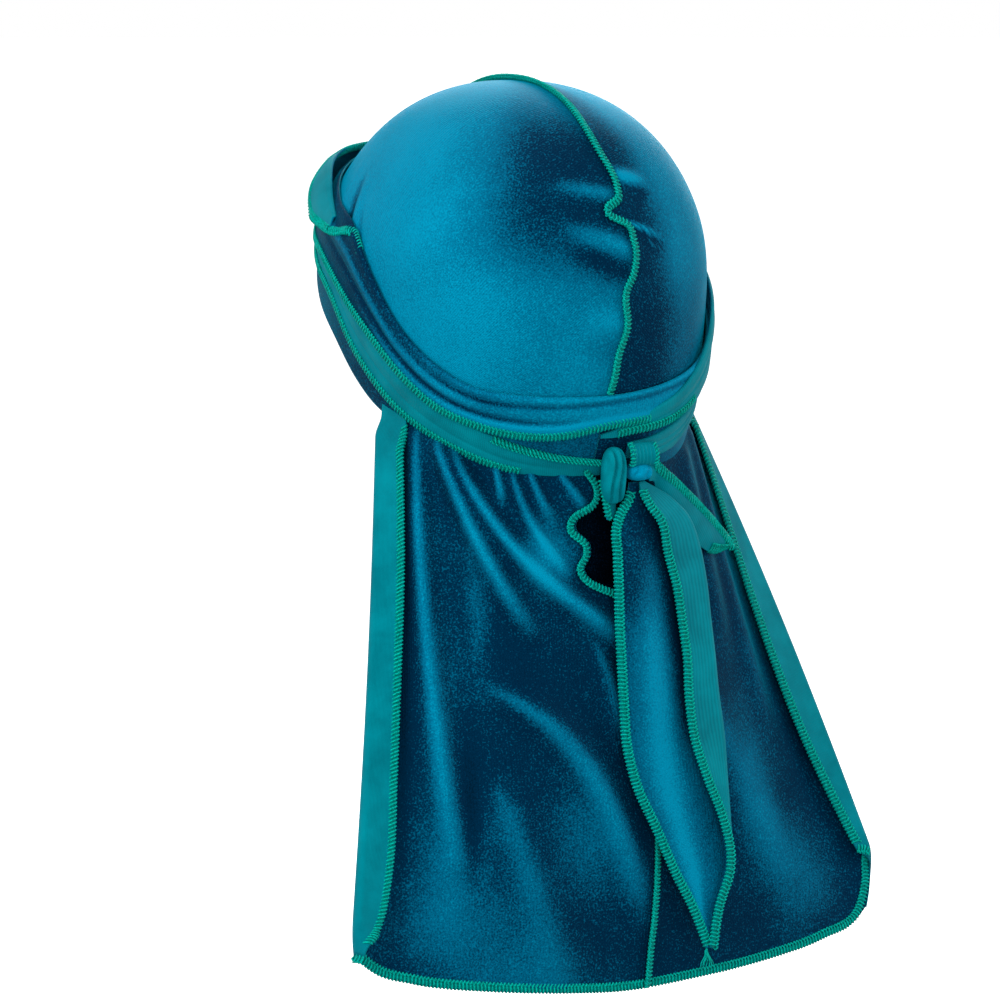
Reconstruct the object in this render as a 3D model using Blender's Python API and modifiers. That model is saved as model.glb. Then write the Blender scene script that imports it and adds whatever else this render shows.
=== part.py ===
"""A velvet durag in its worn form: a two-panel cap, ties wound round it and knotted, and a long tail.

Metres, +Z up. The front of the head is at -Y, the tail hangs at +Y, the wearer's left is +X.
The origin is the inside of the cap at its highest point, where it sits on the head.
Azimuths are in degrees round the head: 0 front, 90 left, 180 nape, 270 right.
"""

from collections import namedtuple
from math import cos, pi, radians, sin

import bmesh
import bpy
import numpy as np
from mathutils import Vector

# Head that the cap is shaped on
HEAD_HALF_WIDTH = 0.0785
HEAD_HALF_DEPTH = 0.0990
HEAD_RISE = 0.0945
HEAD_FALL = 0.120
HEAD_SQUARENESS = 2.2

# Cloth and clearances
CLOTH = 0.0010
EDGE_GAP = 0.0003
LAYER_GAP = 0.0004
SEAM_RADIUS = 0.0012

# Cap
CROWN_DEPTH = 0.167
SEAM_SWAY = 0.009
WRAP_SHIFT = 0.0035
WRAP_LIFT = 0.0045
PUCKER_HEIGHT = 0.0012
PUCKER_WIDTH = 0.004
PANEL_FRONT = 35.0
PANEL_BACK = 145.0

# Where the ties draw the cap to one side, as shares of CROWN_DEPTH
DRAW_TOP_LEFT = 0.10
DRAW_TOP_RIGHT = 0.34
DRAW_RAMP = 0.34
DRAW_FADE = 0.20

# Tail
TAIL_LENGTH = 0.2230
TAIL_HALF_WIDTH = 0.133
TAIL_SPREAD_LEFT = 74.0
TAIL_SPREAD_RIGHT = 78.5
TAIL_SLANT = 0.027
TAIL_SWAY = -0.0025
CORNER_RISE = 0.028
CORNER_FORWARD = 0.013
LEFT_HOLLOW = 0.001
RIGHT_BULGE = 0.0035
CURL_RADIUS = 0.0026
CURL_STRIP = 0.020
RIM_CLEARANCE = 1.2
CORNER_CLEARANCE = 1.0
TAIL_SEAM_GAP = 0.0010
FOLD_HEIGHT = 0.006
FOLD_WIDTH = 0.010
RECESS_DEPTH = 0.009
RECESS_EDGE = 0.006

# Shares of the tail: its length below the rim where folds begin, and the recess beside its seam
FOLD_START = 0.05
FOLD_END_HEIGHT = 0.35
RECESS_TOP = 0.04
RECESS_BOTTOM = 0.27
RECESS_RAMP = 0.05
RECESS_RIGHT = -0.22
RECESS_SIDE_RAMP = 0.16

# Shares of a grid's columns that are flat cloth and that make the turn at its edge
FLAT_LANES = 0.64
TURN_LANES = 0.18
TIE_FLAT_LANES = 0.55

# Ties and knot
PLEAT_HEIGHT = 0.0012
TIE_STAND_OFF = 0.0080
LONG_TIE_LENGTH = 0.205
LONG_TIE_WIDTH = 0.048
LONG_TIE_TURN = 0.0022
LONG_TIE_RIDGE = 0.0015
SHORT_TIE_LENGTH = 0.066
SHORT_TIE_WIDTH = 0.013
REAR_TIE_LENGTH = 0.018
REAR_TIE_WIDTH = 0.008
KNOT_SIDE = 0.0017
LOOP_WIDTH = 0.011
LOOP_DEPTH = 0.010
LOOP_HEIGHT = 0.0246
BRIDGE_WIDTH = 0.0138
BRIDGE_REACH = 0.0052
BRIDGE_HEIGHT = 0.0088
BRIDGE_TOP_TURN = 78.0
BRIDGE_LOW_TURN = -60.0
BRIDGE_PINCH = 0.12
CORE_WIDTH = 0.0118
CORE_DEPTH = 0.010
CORE_HEIGHT = 0.0074

# Tables: heights are shares of CROWN_DEPTH below the origin, azimuths are degrees
Rim = namedtuple("Rim", "azimuth depth")
RIM_ROWS = [
    Rim(0, 0.431), Rim(30, 0.455), Rim(49, 0.503), Rim(62, 0.587), Rim(78, 0.677),
    Rim(92, 0.781), Rim(104, 0.850), Rim(118, 0.886), Rim(128, 0.918), Rim(138, 0.957),
    Rim(150, 0.988), Rim(162, 0.997), Rim(180, 1.0),
]

Band = namedtuple("Band", "azimuth top bottom")
UPPER_WRAP_ROWS = [
    Band(0, 0.180, 0.347), Band(24, 0.192, 0.359), Band(48, 0.240, 0.407), Band(72, 0.311, 0.467),
    Band(94, 0.389, 0.584), Band(107, 0.503, 0.665), Band(118, 0.612, 0.745), Band(130, 0.701, 0.823),
    Band(142, 0.760, 0.868), Band(153, 0.778, 0.892), Band(163, 0.784, 0.895), Band(176, 0.784, 0.871),
    Band(191, 0.766, 0.856), Band(209, 0.719, 0.832), Band(225, 0.647, 0.778), Band(244, 0.551, 0.695),
    Band(266, 0.431, 0.587), Band(288, 0.329, 0.485), Band(312, 0.251, 0.413), Band(336, 0.198, 0.365),
    Band(360, 0.180, 0.347),
]
LOWER_WRAP_ROWS = [
    Band(-24, 0.240, 0.347), Band(0, 0.240, 0.365), Band(30, 0.263, 0.389), Band(53, 0.329, 0.452),
    Band(62, 0.371, 0.491), Band(77, 0.443, 0.560), Band(92, 0.545, 0.684), Band(105, 0.635, 0.780),
    Band(116, 0.713, 0.852), Band(128, 0.796, 0.912), Band(138, 0.850, 0.953), Band(150, 0.904, 0.986),
    Band(160, 0.934, 0.994), Band(178, 0.964, 0.997),
]
RIGHT_WRAP_ROWS = [
    Band(173, 0.876, 0.896), Band(178, 0.858, 0.896), Band(184, 0.841, 0.888), Band(190, 0.823, 0.880),
    Band(199, 0.784, 0.858), Band(208, 0.725, 0.820), Band(216, 0.659, 0.778), Band(225, 0.593, 0.731),
    Band(245, 0.479, 0.635), Band(266, 0.383, 0.551), Band(288, 0.305, 0.473), Band(312, 0.240, 0.401),
    Band(336, 0.190, 0.353), Band(360, 0.174, 0.335), Band(384, 0.174, 0.329), Band(408, 0.192, 0.335),
    Band(420, 0.216, 0.350), Band(430, 0.275, 0.365), Band(437, 0.341, 0.377),
]

# How far the loose end of the right wrap stands off the temple, as shares of WRAP_LIFT
Lift = namedtuple("Lift", "azimuth off")
RIGHT_WRAP_LIFTS = [
    Lift(173, 0.0), Lift(350, 0.0), Lift(366, 0.0), Lift(384, 0.45), Lift(398, 1.0), Lift(410, 1.0),
    Lift(422, 0.55), Lift(431, 0.15), Lift(437, 0.0),
]
KNOT_FEED_ROWS = [
    Band(184, 0.915, 0.955), Band(191, 0.906, 0.958), Band(204, 0.868, 0.940), Band(212, 0.838, 0.898),
    Band(225, 0.731, 0.826), Band(244, 0.623, 0.731), Band(266, 0.515, 0.635), Band(288, 0.407, 0.539),
    Band(312, 0.323, 0.455), Band(330, 0.287, 0.407),
]

# Side steps of the cap's seam, as shares of SEAM_SWAY towards the wearer's left
Step = namedtuple("Step", "depth side")
CROWN_SEAM_ROWS = [
    Step(0.0, 0.0), Step(0.174, 0.0), Step(0.210, -0.17), Step(0.257, -0.22), Step(0.287, 0.0),
    Step(0.302, 0.50), Step(0.320, 0.55), Step(0.345, -0.33), Step(0.383, -0.55), Step(0.443, -0.55),
    Step(0.473, -0.39), Step(0.509, 0.0), Step(0.611, 0.0), Step(0.677, 0.39), Step(0.743, 0.55),
    Step(0.784, 0.72), Step(1.0, 0.95),
]

# Small puckers beside the cap's seam: side and length are shares of HEAD_HALF_WIDTH
Pucker = namedtuple("Pucker", "side depth length height")
PUCKER_ROWS = [
    Pucker(-0.18, 0.290, 0.16, 1.0), Pucker(-0.26, 0.500, 0.14, 0.8),
    Pucker(0.28, 0.330, 0.22, 1.0), Pucker(0.24, 0.530, 0.22, 0.9),
]

# The tail: across is 1 at the left edge and -1 at the right, down is 0 at the nape and 1 at the hem
SeamStep = namedtuple("SeamStep", "down across")
TAIL_SEAM_ROWS = [
    SeamStep(0.0, 0.11), SeamStep(0.03, 0.10), SeamStep(0.08, 0.055), SeamStep(0.13, 0.12),
    SeamStep(0.175, 0.165), SeamStep(0.205, 0.15), SeamStep(0.24, 0.10), SeamStep(0.27, 0.03),
    SeamStep(0.40, -0.02), SeamStep(0.55, -0.08), SeamStep(0.70, -0.10), SeamStep(0.86, -0.06),
    SeamStep(1.0, -0.02),
]

# Folds of the tail: heights are shares of FOLD_HEIGHT, widths of FOLD_WIDTH
Fold = namedtuple("Fold", "start_across start_down bend_across bend_down end_across end_down height width")
FOLD_ROWS = [
    Fold(0.80, 0.00, 0.80, 0.34, 0.67, 0.76, 0.80, 0.75),
    Fold(0.72, 0.00, 0.60, 0.14, 0.36, 0.31, 1.00, 0.65),
    Fold(0.66, 0.00, 0.44, 0.18, -0.01, 0.33, 1.00, 0.60),
    Fold(0.47, 0.00, 0.45, 0.04, 0.44, 0.08, 0.55, 0.35),
    Fold(0.40, 0.00, 0.37, 0.11, 0.20, 0.20, 0.60, 0.40),
    Fold(0.33, 0.00, 0.31, 0.05, 0.25, 0.10, 0.50, 0.35),
    Fold(0.22, 0.00, 0.18, 0.04, 0.11, 0.08, 0.45, 0.35),
    Fold(0.51, 0.44, 0.12, 0.48, -0.02, 0.86, 0.90, 1.00),
    Fold(0.10, 0.34, 0.04, 0.42, 0.01, 0.52, 0.40, 0.60),
    Fold(0.50, 0.62, 0.38, 0.80, 0.30, 1.00, 0.55, 1.60),
    Fold(-0.30, 0.42, -0.48, 0.60, -0.66, 0.90, 0.70, 1.80),
    Fold(-0.48, 0.00, -0.52, 0.20, -0.56, 0.40, 0.50, 0.90),
    Fold(-0.66, 0.00, -0.68, 0.30, -0.74, 0.60, 0.45, 0.80),
]

# Hem: how far it lies above its lowest level, as shares of CORNER_RISE
Hem = namedtuple("Hem", "across rise")
HEM_ROWS = [
    Hem(-1.0, 0.92), Hem(-0.91, 0.50), Hem(-0.75, 0.28), Hem(-0.50, 0.12), Hem(-0.20, 0.03),
    Hem(0.05, 0.0), Hem(0.32, 0.12), Hem(0.57, 0.28), Hem(0.81, 0.51), Hem(0.93, 0.72), Hem(1.0, 1.0),
]

# Turned-over strip along each side of the tail: widths are shares of CURL_STRIP
Strip = namedtuple("Strip", "down left right")
STRIP_ROWS = [
    Strip(0.0, 0.78, 0.70), Strip(0.25, 0.78, 1.0), Strip(0.50, 0.72, 1.0), Strip(0.65, 0.72, 0.86),
    Strip(0.80, 0.74, 0.58), Strip(0.90, 0.60, 0.36), Strip(1.0, 0.20, 0.12),
]

# Long tie: side lines are shares of LONG_TIE_WIDTH towards the wearer's left
Drop = namedtuple("Drop", "down left right turn_in")
LONG_TIE_ROWS = [
    Drop(0.0, -0.120, -0.250, 0.04), Drop(0.032, -0.080, -0.473, 0.28), Drop(0.055, 0.000, -0.570, 0.35),
    Drop(0.088, 0.067, -0.685, 0.38), Drop(0.150, 0.075, -0.80, 0.42), Drop(0.225, 0.083, -0.86, 0.38),
    Drop(0.306, 0.094, -0.88, 0.35), Drop(0.388, 0.094, -0.90, 0.33), Drop(0.466, 0.094, -0.91, 0.35),
    Drop(0.557, 0.081, -0.935, 0.36), Drop(0.648, -0.012, -0.93, 0.24), Drop(0.733, -0.177, -0.93, 0.09),
    Drop(0.839, -0.371, -0.93, 0.02), Drop(0.910, -0.525, -0.806, 0.02), Drop(1.0, -0.672, -0.710, 0.01),
]

# Short tie: shares of SHORT_TIE_LENGTH sideways and down, and of SHORT_TIE_WIDTH below the upper edge
Reach = namedtuple("Reach", "out side drop width")
SHORT_TIE_ROWS = [
    Reach(0.0, 0.0, 0.0, 0.50), Reach(0.10, -0.07, 0.005, 0.62), Reach(0.22, -0.165, 0.085, 0.85),
    Reach(0.45, -0.335, 0.225, 0.95), Reach(0.68, -0.505, 0.375, 1.0), Reach(0.86, -0.650, 0.505, 0.72),
    Reach(1.0, -0.755, 0.625, 0.14),
]

VELVET = ("velvet", (0.0, 0.20, 0.30), 0.45, 0.35)
MATTE = ("matte_reverse", (0.0, 0.23, 0.25), 0.60, 0.0)
THREAD = ("thread", (0.0, 0.28, 0.19), 0.65, 0.0)


def curve_through(xs, ys, x):
    """Value at x of the smooth curve through the points (xs, ys), flat beyond its ends."""
    x = min(max(x, xs[0]), xs[-1])
    slopes = np.gradient(ys, xs)
    place = int(min(max(np.searchsorted(xs, x) - 1, 0), len(xs) - 2))
    span = xs[place + 1] - xs[place]
    t = (x - xs[place]) / span
    start, end = (1 + 2 * t) * (1 - t) ** 2, t * t * (3 - 2 * t)
    rise_start, rise_end = t * (1 - t) ** 2, t * t * (t - 1)
    value = start * ys[place] + end * ys[place + 1]
    return value + span * (rise_start * slopes[place] + rise_end * slopes[place + 1])


def read_table(rows, column, x):
    """Value of a named column at x, the table's first column."""
    xs = np.array([row[0] for row in rows], dtype=float)
    ys = np.array([getattr(row, column) for row in rows], dtype=float)
    return float(curve_through(xs, ys, x))


def ease(x):
    """Smooth step from 0 to 1."""
    x = min(max(x, 0.0), 1.0)
    return x * x * (3 - 2 * x)


def pressed(point):
    """A point of the head's form moved to the side where the ties draw the cap over."""
    depth = -point.z / CROWN_DEPTH
    start = DRAW_TOP_LEFT if point.x > 0 else DRAW_TOP_RIGHT
    window = ease((depth - start) / DRAW_RAMP) * ease((1 - depth) / DRAW_FADE)
    share = min(abs(point.x) / HEAD_HALF_WIDTH, 1.0)
    return point + Vector((WRAP_SHIFT * share * window, 0, 0))


def form_along(direction, stand_off):
    """Point on the head's form, stand_off outside it, along a direction from the head's centre."""
    below = HEAD_FALL if direction.z < 0 else HEAD_RISE
    share = (
        (abs(direction.x) / (HEAD_HALF_WIDTH + stand_off)) ** HEAD_SQUARENESS
        + (abs(direction.y) / (HEAD_HALF_DEPTH + stand_off)) ** HEAD_SQUARENESS
        + (abs(direction.z) / (below + stand_off)) ** HEAD_SQUARENESS
    )
    return pressed(Vector((0, 0, -HEAD_RISE)) + direction * share ** (-1 / HEAD_SQUARENESS))


def form_at(azimuth, depth, stand_off):
    """Point on the head's form at an azimuth and a depth below the origin."""
    across, along = sin(radians(azimuth)), -cos(radians(azimuth))
    rise = HEAD_RISE - depth
    below = (HEAD_FALL if rise < 0 else HEAD_RISE) + stand_off
    level = max(1 - (abs(rise) / below) ** HEAD_SQUARENESS, 0.0) ** (1 / HEAD_SQUARENESS)
    share = (
        (abs(across) / (HEAD_HALF_WIDTH + stand_off)) ** HEAD_SQUARENESS
        + (abs(along) / (HEAD_HALF_DEPTH + stand_off)) ** HEAD_SQUARENESS
    )
    radius = level * share ** (-1 / HEAD_SQUARENESS)
    return pressed(Vector((radius * across, radius * along, -depth)))


def layer_middle(layer):
    """Distance from the head to the middle of a layer of cloth; the cap itself is layer 0."""
    return CLOTH / 2 + layer * (CLOTH + LAYER_GAP)


def rim_depth(azimuth):
    """Depth of the cap's rim at an azimuth, the same on both sides."""
    return CROWN_DEPTH * read_table(RIM_ROWS, "depth", min(azimuth % 360, 360 - azimuth % 360))


def finish(label, settings):
    """The named material with its colour, roughness and metallic value."""
    name, colour, roughness, metallic = settings
    material = bpy.data.materials.get(name) or bpy.data.materials.new(name)
    material.use_nodes = True
    shader = material.node_tree.nodes["Principled BSDF"]
    shader.inputs["Base Color"].default_value = (*colour, 1.0)
    shader.inputs["Roughness"].default_value = roughness
    shader.inputs["Metallic"].default_value = metallic
    label.data.materials.append(material)


def add_object(name, data, settings, collection):
    """Link a mesh or curve under its name, with its finish."""
    thing = bpy.data.objects.new(name, data)
    collection.objects.link(thing)
    finish(thing, settings)
    return thing


def cloth(name, columns, rows, place, settings, collection, wall=None):
    """A sheet of cloth: a grid whose corners (across 0..1, down 0..1) go where place says."""
    mesh = bmesh.new()
    bmesh.ops.create_grid(mesh, x_segments=columns, y_segments=rows, size=0.5)
    for corner in mesh.verts:
        corner.co = place(corner.co.x + 0.5, corner.co.y + 0.5)
    data = bpy.data.meshes.new(name)
    mesh.to_mesh(data)
    mesh.free()
    data.shade_smooth()
    sheet = add_object(name, data, settings, collection)
    thick = sheet.modifiers.new("Wall", "SOLIDIFY")
    thick.thickness = CLOTH if wall is None else wall
    thick.offset = 0.0
    thick.use_even_offset = True
    return sheet


def tube(name, points, radius, settings, collection):
    """A round seam allowance along points, with closed ends."""
    data = bpy.data.curves.new(name, "CURVE")
    data.dimensions = "3D"
    data.bevel_depth = radius
    data.bevel_resolution = 1
    data.use_fill_caps = True
    line = data.splines.new("POLY")
    line.points.add(len(points) - 1)
    for knot, point in zip(line.points, points):
        knot.co = (*point, 1.0)
    return add_object(name, data, settings, collection)


def lobe(name, centre, size, furrow, settings, collection):
    """A closed swelling of cloth with two furrows down its outer side."""
    mesh = bmesh.new()
    bmesh.ops.create_uvsphere(mesh, u_segments=14, v_segments=8, radius=0.5)
    for corner in mesh.verts:
        side = corner.co.x * 2
        crease = furrow * (cos(side * 3 * pi) - 1) / 2 * max(corner.co.y, 0.0)
        corner.co = centre + Vector((corner.co.x * size[0], (corner.co.y + crease) * size[1],
                                     corner.co.z * size[2]))
    data = bpy.data.meshes.new(name)
    mesh.to_mesh(data)
    mesh.free()
    data.shade_smooth()
    return add_object(name, data, settings, collection)


def seam_side(depth):
    """How far the cap's seam lies to the wearer's left at a depth on the back of the head."""
    return SEAM_SWAY * read_table(CROWN_SEAM_ROWS, "side", depth / CROWN_DEPTH)


def crown_seam_point(share, stand_off, shift):
    """Point on the cap's seam line, from the front rim (0) over the top to the nape (1)."""
    start = np.arctan2(HEAD_RISE - rim_depth(0), HEAD_HALF_DEPTH)
    nape = form_at(180, CROWN_DEPTH, 0)
    end = pi + np.arctan2(CROWN_DEPTH - HEAD_RISE, nape.y)
    turn = start + (end - start) * share
    straight = form_along(Vector((0, -cos(turn), sin(turn))), stand_off)
    side = seam_side(-straight.z) * ease(straight.y / (HEAD_HALF_DEPTH / 4)) + shift
    direction = (straight + Vector((side, 0, HEAD_RISE))).normalized()
    return form_along(direction, stand_off)


def pucker(point):
    """Outward rise of the small puckers beside the cap's seam."""
    rise = 0.0
    for row in PUCKER_ROWS:
        sideways = abs(point.x - row.side * HEAD_HALF_WIDTH) / (row.length * HEAD_HALF_WIDTH / 2)
        upright = abs(-point.z - row.depth * CROWN_DEPTH) / PUCKER_WIDTH
        if point.y > 0 and sideways < 1:
            rise += row.height * PUCKER_HEIGHT * (1 - sideways ** 2) * np.exp(-upright ** 2)
    return rise


def crown_point(side, along, across, stand_off):
    """Point on a cap panel: along from front to nape, across from the seam (0) to the rim (1)."""
    centre = Vector((0, 0, HEAD_RISE))
    shift = side * EDGE_GAP / 2

    def rim_at(azimuth):
        return (form_at(side * azimuth, rim_depth(azimuth), 0) + centre).normalized()

    def seam_at(share):
        return (crown_seam_point(share, 0, shift) + centre).normalized()

    nape_azimuth = side * np.degrees(np.arctan2(seam_at(1).x, -seam_at(1).y))
    nape_start = nape_azimuth % 360
    edge = rim_at(PANEL_FRONT + (PANEL_BACK - PANEL_FRONT) * along)
    start = rim_at(PANEL_FRONT * across) if across > 0 else seam_at(0)
    end = rim_at(nape_start + (PANEL_BACK - nape_start) * across) if across > 0 else seam_at(1)
    blended = (1 - across) * seam_at(along) + across * edge + (1 - along) * start + along * end
    corners = (1 - along) * ((1 - across) * seam_at(0) + across * rim_at(PANEL_FRONT))
    corners += along * ((1 - across) * seam_at(1) + across * rim_at(PANEL_BACK))
    direction = (blended - corners).normalized()
    point = form_along(direction, stand_off)
    return point + direction * pucker(point)


def build_crown(collection):
    """Two cap panels that meet at the seam, and the raised seam between them."""
    for side, name in ((1, "crown_left"), (-1, "crown_right")):
        cloth(name, 28, 9,
              lambda along, across, side=side: crown_point(side, along, across, CLOTH / 2),
              VELVET, collection)
    ridge = CLOTH + EDGE_GAP + SEAM_RADIUS
    wrap_front = CROWN_DEPTH * read_table(RIGHT_WRAP_ROWS, "top", 360) - 2 * SEAM_RADIUS
    wrap_back = CROWN_DEPTH * read_table(UPPER_WRAP_ROWS, "top", 180) - 2 * SEAM_RADIUS
    points = []
    for share in np.linspace(0, 1, 60):
        rise = pucker(crown_seam_point(share, CLOTH, 0))
        points.append(crown_seam_point(share, ridge + rise, 0))
    shown = [p for p in points if -p.z < (wrap_front if p.y < 0 else wrap_back)]
    tube("crown_seam", shown, SEAM_RADIUS, THREAD, collection)


def band_point(rows, layer, pleat, share, across):
    """Point on a tie wound round the head: share along its run, across from its top edge."""
    azimuth = rows[0].azimuth + (rows[-1].azimuth - rows[0].azimuth) * share
    top = CROWN_DEPTH * read_table(rows, "top", azimuth)
    bottom = CROWN_DEPTH * read_table(rows, "bottom", azimuth)
    rise = pleat * PLEAT_HEIGHT * sin(2 * pi * across) ** 2 * sin(pi * share) ** 0.5
    if layer == 3:
        rise += WRAP_LIFT * max(read_table(RIGHT_WRAP_LIFTS, "off", azimuth), 0.0)
    return form_at(azimuth, top + (bottom - top) * across, layer_middle(layer) + rise)


def build_wraps(collection):
    """The ties round the head, from the innermost layer to the outermost."""
    runs = (
        ("lower_wrap", LOWER_WRAP_ROWS, 1, 0.0, MATTE, 36, 3),
        ("knot_feed", KNOT_FEED_ROWS, 1, 0.0, MATTE, 20, 3),
        ("right_wrap", RIGHT_WRAP_ROWS, 3, 1.0, MATTE, 40, 3),
    )
    for name, rows, layer, pleat, settings, columns, lanes in runs:
        cloth(name, columns, lanes,
              lambda share, across, rows=rows, layer=layer, pleat=pleat: band_point(
                  rows, layer, pleat, share, across),
              settings, collection)
    ring(collection)


def ring(collection):
    """The velvet tie, a whole turn round the head whose ends meet under the other ties."""
    def place(share, across):
        azimuth = 360 * share
        top = CROWN_DEPTH * read_table(UPPER_WRAP_ROWS, "top", azimuth)
        bottom = CROWN_DEPTH * read_table(UPPER_WRAP_ROWS, "bottom", azimuth)
        return form_at(azimuth, top + (bottom - top) * across, layer_middle(2))

    band = cloth("upper_wrap", 52, 3, place, VELVET, collection)
    mesh = bmesh.new()
    mesh.from_mesh(band.data)
    bmesh.ops.remove_doubles(mesh, verts=mesh.verts, dist=EDGE_GAP / 10)
    mesh.to_mesh(band.data)
    mesh.free()


def tail_seam_across(down):
    """Where the tail's seam runs, from 1 at the left edge to -1 at the right."""
    return read_table(TAIL_SEAM_ROWS, "across", down)


def tail_base(across, down):
    """Point on the tail as it would hang without folds."""
    azimuth = 180 - (TAIL_SPREAD_LEFT if across > 0 else TAIL_SPREAD_RIGHT) * across
    corner_drop = CURL_RADIUS * CORNER_CLEARANCE * abs(across) ** 8
    top = form_at(azimuth, rim_depth(azimuth) + EDGE_GAP + CLOTH * RIM_CLEARANCE + corner_drop, CLOTH / 2)
    nape = form_at(180, CROWN_DEPTH, CLOTH / 2)
    hem = Vector((
        TAIL_HALF_WIDTH * across + TAIL_SWAY,
        nape.y + TAIL_SLANT - CORNER_FORWARD * across ** 2,
        -CROWN_DEPTH - TAIL_LENGTH + CORNER_RISE * read_table(HEM_ROWS, "rise", across),
    ))
    bow = (LEFT_HOLLOW if across > 0 else RIGHT_BULGE) * sin(pi * down) * abs(across) ** 3
    return top.lerp(hem, down) - Vector((bow, 0, 0))


def outward(surface, across, down):
    """Unit vector out of a surface, away from the head."""
    step = 0.004
    left = surface(across + step, down) - surface(across - step, down)
    fall = surface(across, min(down + step, 1)) - surface(across, max(down - step, 0))
    normal = left.cross(fall)
    return normal.normalized() * (1 if normal.y > 0 else -1)


def fold_lines():
    """Each fold as its points, its height and its width, worked out once."""
    lines = []
    for row in FOLD_ROWS:
        t = np.linspace(0, 1, 25)[:, None]
        start = np.array([row.start_across * TAIL_HALF_WIDTH, row.start_down * TAIL_LENGTH])
        bend = np.array([row.bend_across * TAIL_HALF_WIDTH, row.bend_down * TAIL_LENGTH])
        end = np.array([row.end_across * TAIL_HALF_WIDTH, row.end_down * TAIL_LENGTH])
        points = (1 - t) ** 2 * start + 2 * t * (1 - t) * bend + t ** 2 * end
        lines.append((points, row.height * FOLD_HEIGHT, row.width * FOLD_WIDTH))
    return lines


FOLD_LINES = fold_lines()


def fold_rise(across, down):
    """Outward rise of the tail's folds, and the recess beside its seam under the knot."""
    spot = np.array([across * TAIL_HALF_WIDTH, down * TAIL_LENGTH])
    rise = 0.0
    for points, height, width in FOLD_LINES:
        distance = np.linalg.norm(points - spot, axis=1)
        nearest = int(distance.argmin())
        fade = 1 - abs(2 * nearest / (len(points) - 1) - 1) ** 4
        share = FOLD_END_HEIGHT + (1 - FOLD_END_HEIGHT) * fade
        rise += height * share * np.exp(-(distance[nearest] / width) ** 2)
    rise *= ease(down / FOLD_START)
    from_seam = (tail_seam_across(down) - across) * TAIL_HALF_WIDTH
    hollow = ease((from_seam - 2 * CLOTH) / RECESS_EDGE) * ease((across - RECESS_RIGHT) / RECESS_SIDE_RAMP)
    hollow *= ease(down / RECESS_TOP) * ease((RECESS_BOTTOM - down) / RECESS_RAMP)
    return rise - RECESS_DEPTH * hollow


def tail_surface(across, down):
    """Point on the tail with its folds."""
    return tail_base(across, down) + outward(tail_base, across, down) * fold_rise(across, down)


def turned(surface, edge_share, sign, across, down, radius, strip, opening):
    """Cloth whose edge is turned over outwards: across 0..1 is flat, 1..2 the turn and the strip."""
    if across <= 1:
        return surface(edge_share(across), down)
    edge = surface(edge_share(1), down)
    before = surface(edge_share(0.96), down)
    normal = outward(surface, edge_share(1), down)
    ahead = edge - before
    ahead = (ahead - normal * ahead.dot(normal)).normalized()
    arc = min((across - 1) / 0.5, 1.0) * pi * opening
    point = edge + ahead * (radius * sin(arc)) + normal * (radius * (1 - cos(arc)))
    length = max(across - 1.5, 0.0) / 0.5 * strip
    return point + (ahead * cos(arc) + normal * sin(arc)) * length


def build_tail(collection):
    """Both halves of the tail with their turned-over edges, and the seam between them."""
    for side, name, column in ((1, "tail_left", "left"), (-1, "tail_right", "right")):
        def place(across, row, side=side, column=column):
            down = row * (0.55 + 0.45 * row)
            seam = tail_seam_across(down) + side * TAIL_SEAM_GAP / 2 / TAIL_HALF_WIDTH

            def edge_share(share):
                return seam + (side - seam) * share

            strip = CURL_STRIP * read_table(STRIP_ROWS, column, down)
            opening = 1 - 0.35 * ease((down - 0.93) / 0.07)
            turn_end = FLAT_LANES + TURN_LANES
            stretch = float(np.interp(across, (0, FLAT_LANES, turn_end, 1), (0, 1, 1.5, 2)))
            return turned(tail_surface, edge_share, side, stretch, down, CURL_RADIUS, strip, opening)

        cloth(name, 24, 20, place, VELVET, collection)
    lift = CLOTH / 2 + LAYER_GAP + EDGE_GAP + SEAM_RADIUS
    points = []
    for down in np.linspace(0.016, 0.995, 44):
        across = tail_seam_across(down)
        points.append(tail_surface(across, down) + outward(tail_surface, across, down) * lift)
    tube("tail_seam", points, SEAM_RADIUS, THREAD, collection)


def rear_stand_off():
    """Distance from the tail to the tucked end, which lies on the tail's seam."""
    return CLOTH / 2 + EDGE_GAP + 2 * SEAM_RADIUS + EDGE_GAP + CLOTH / 2


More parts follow.
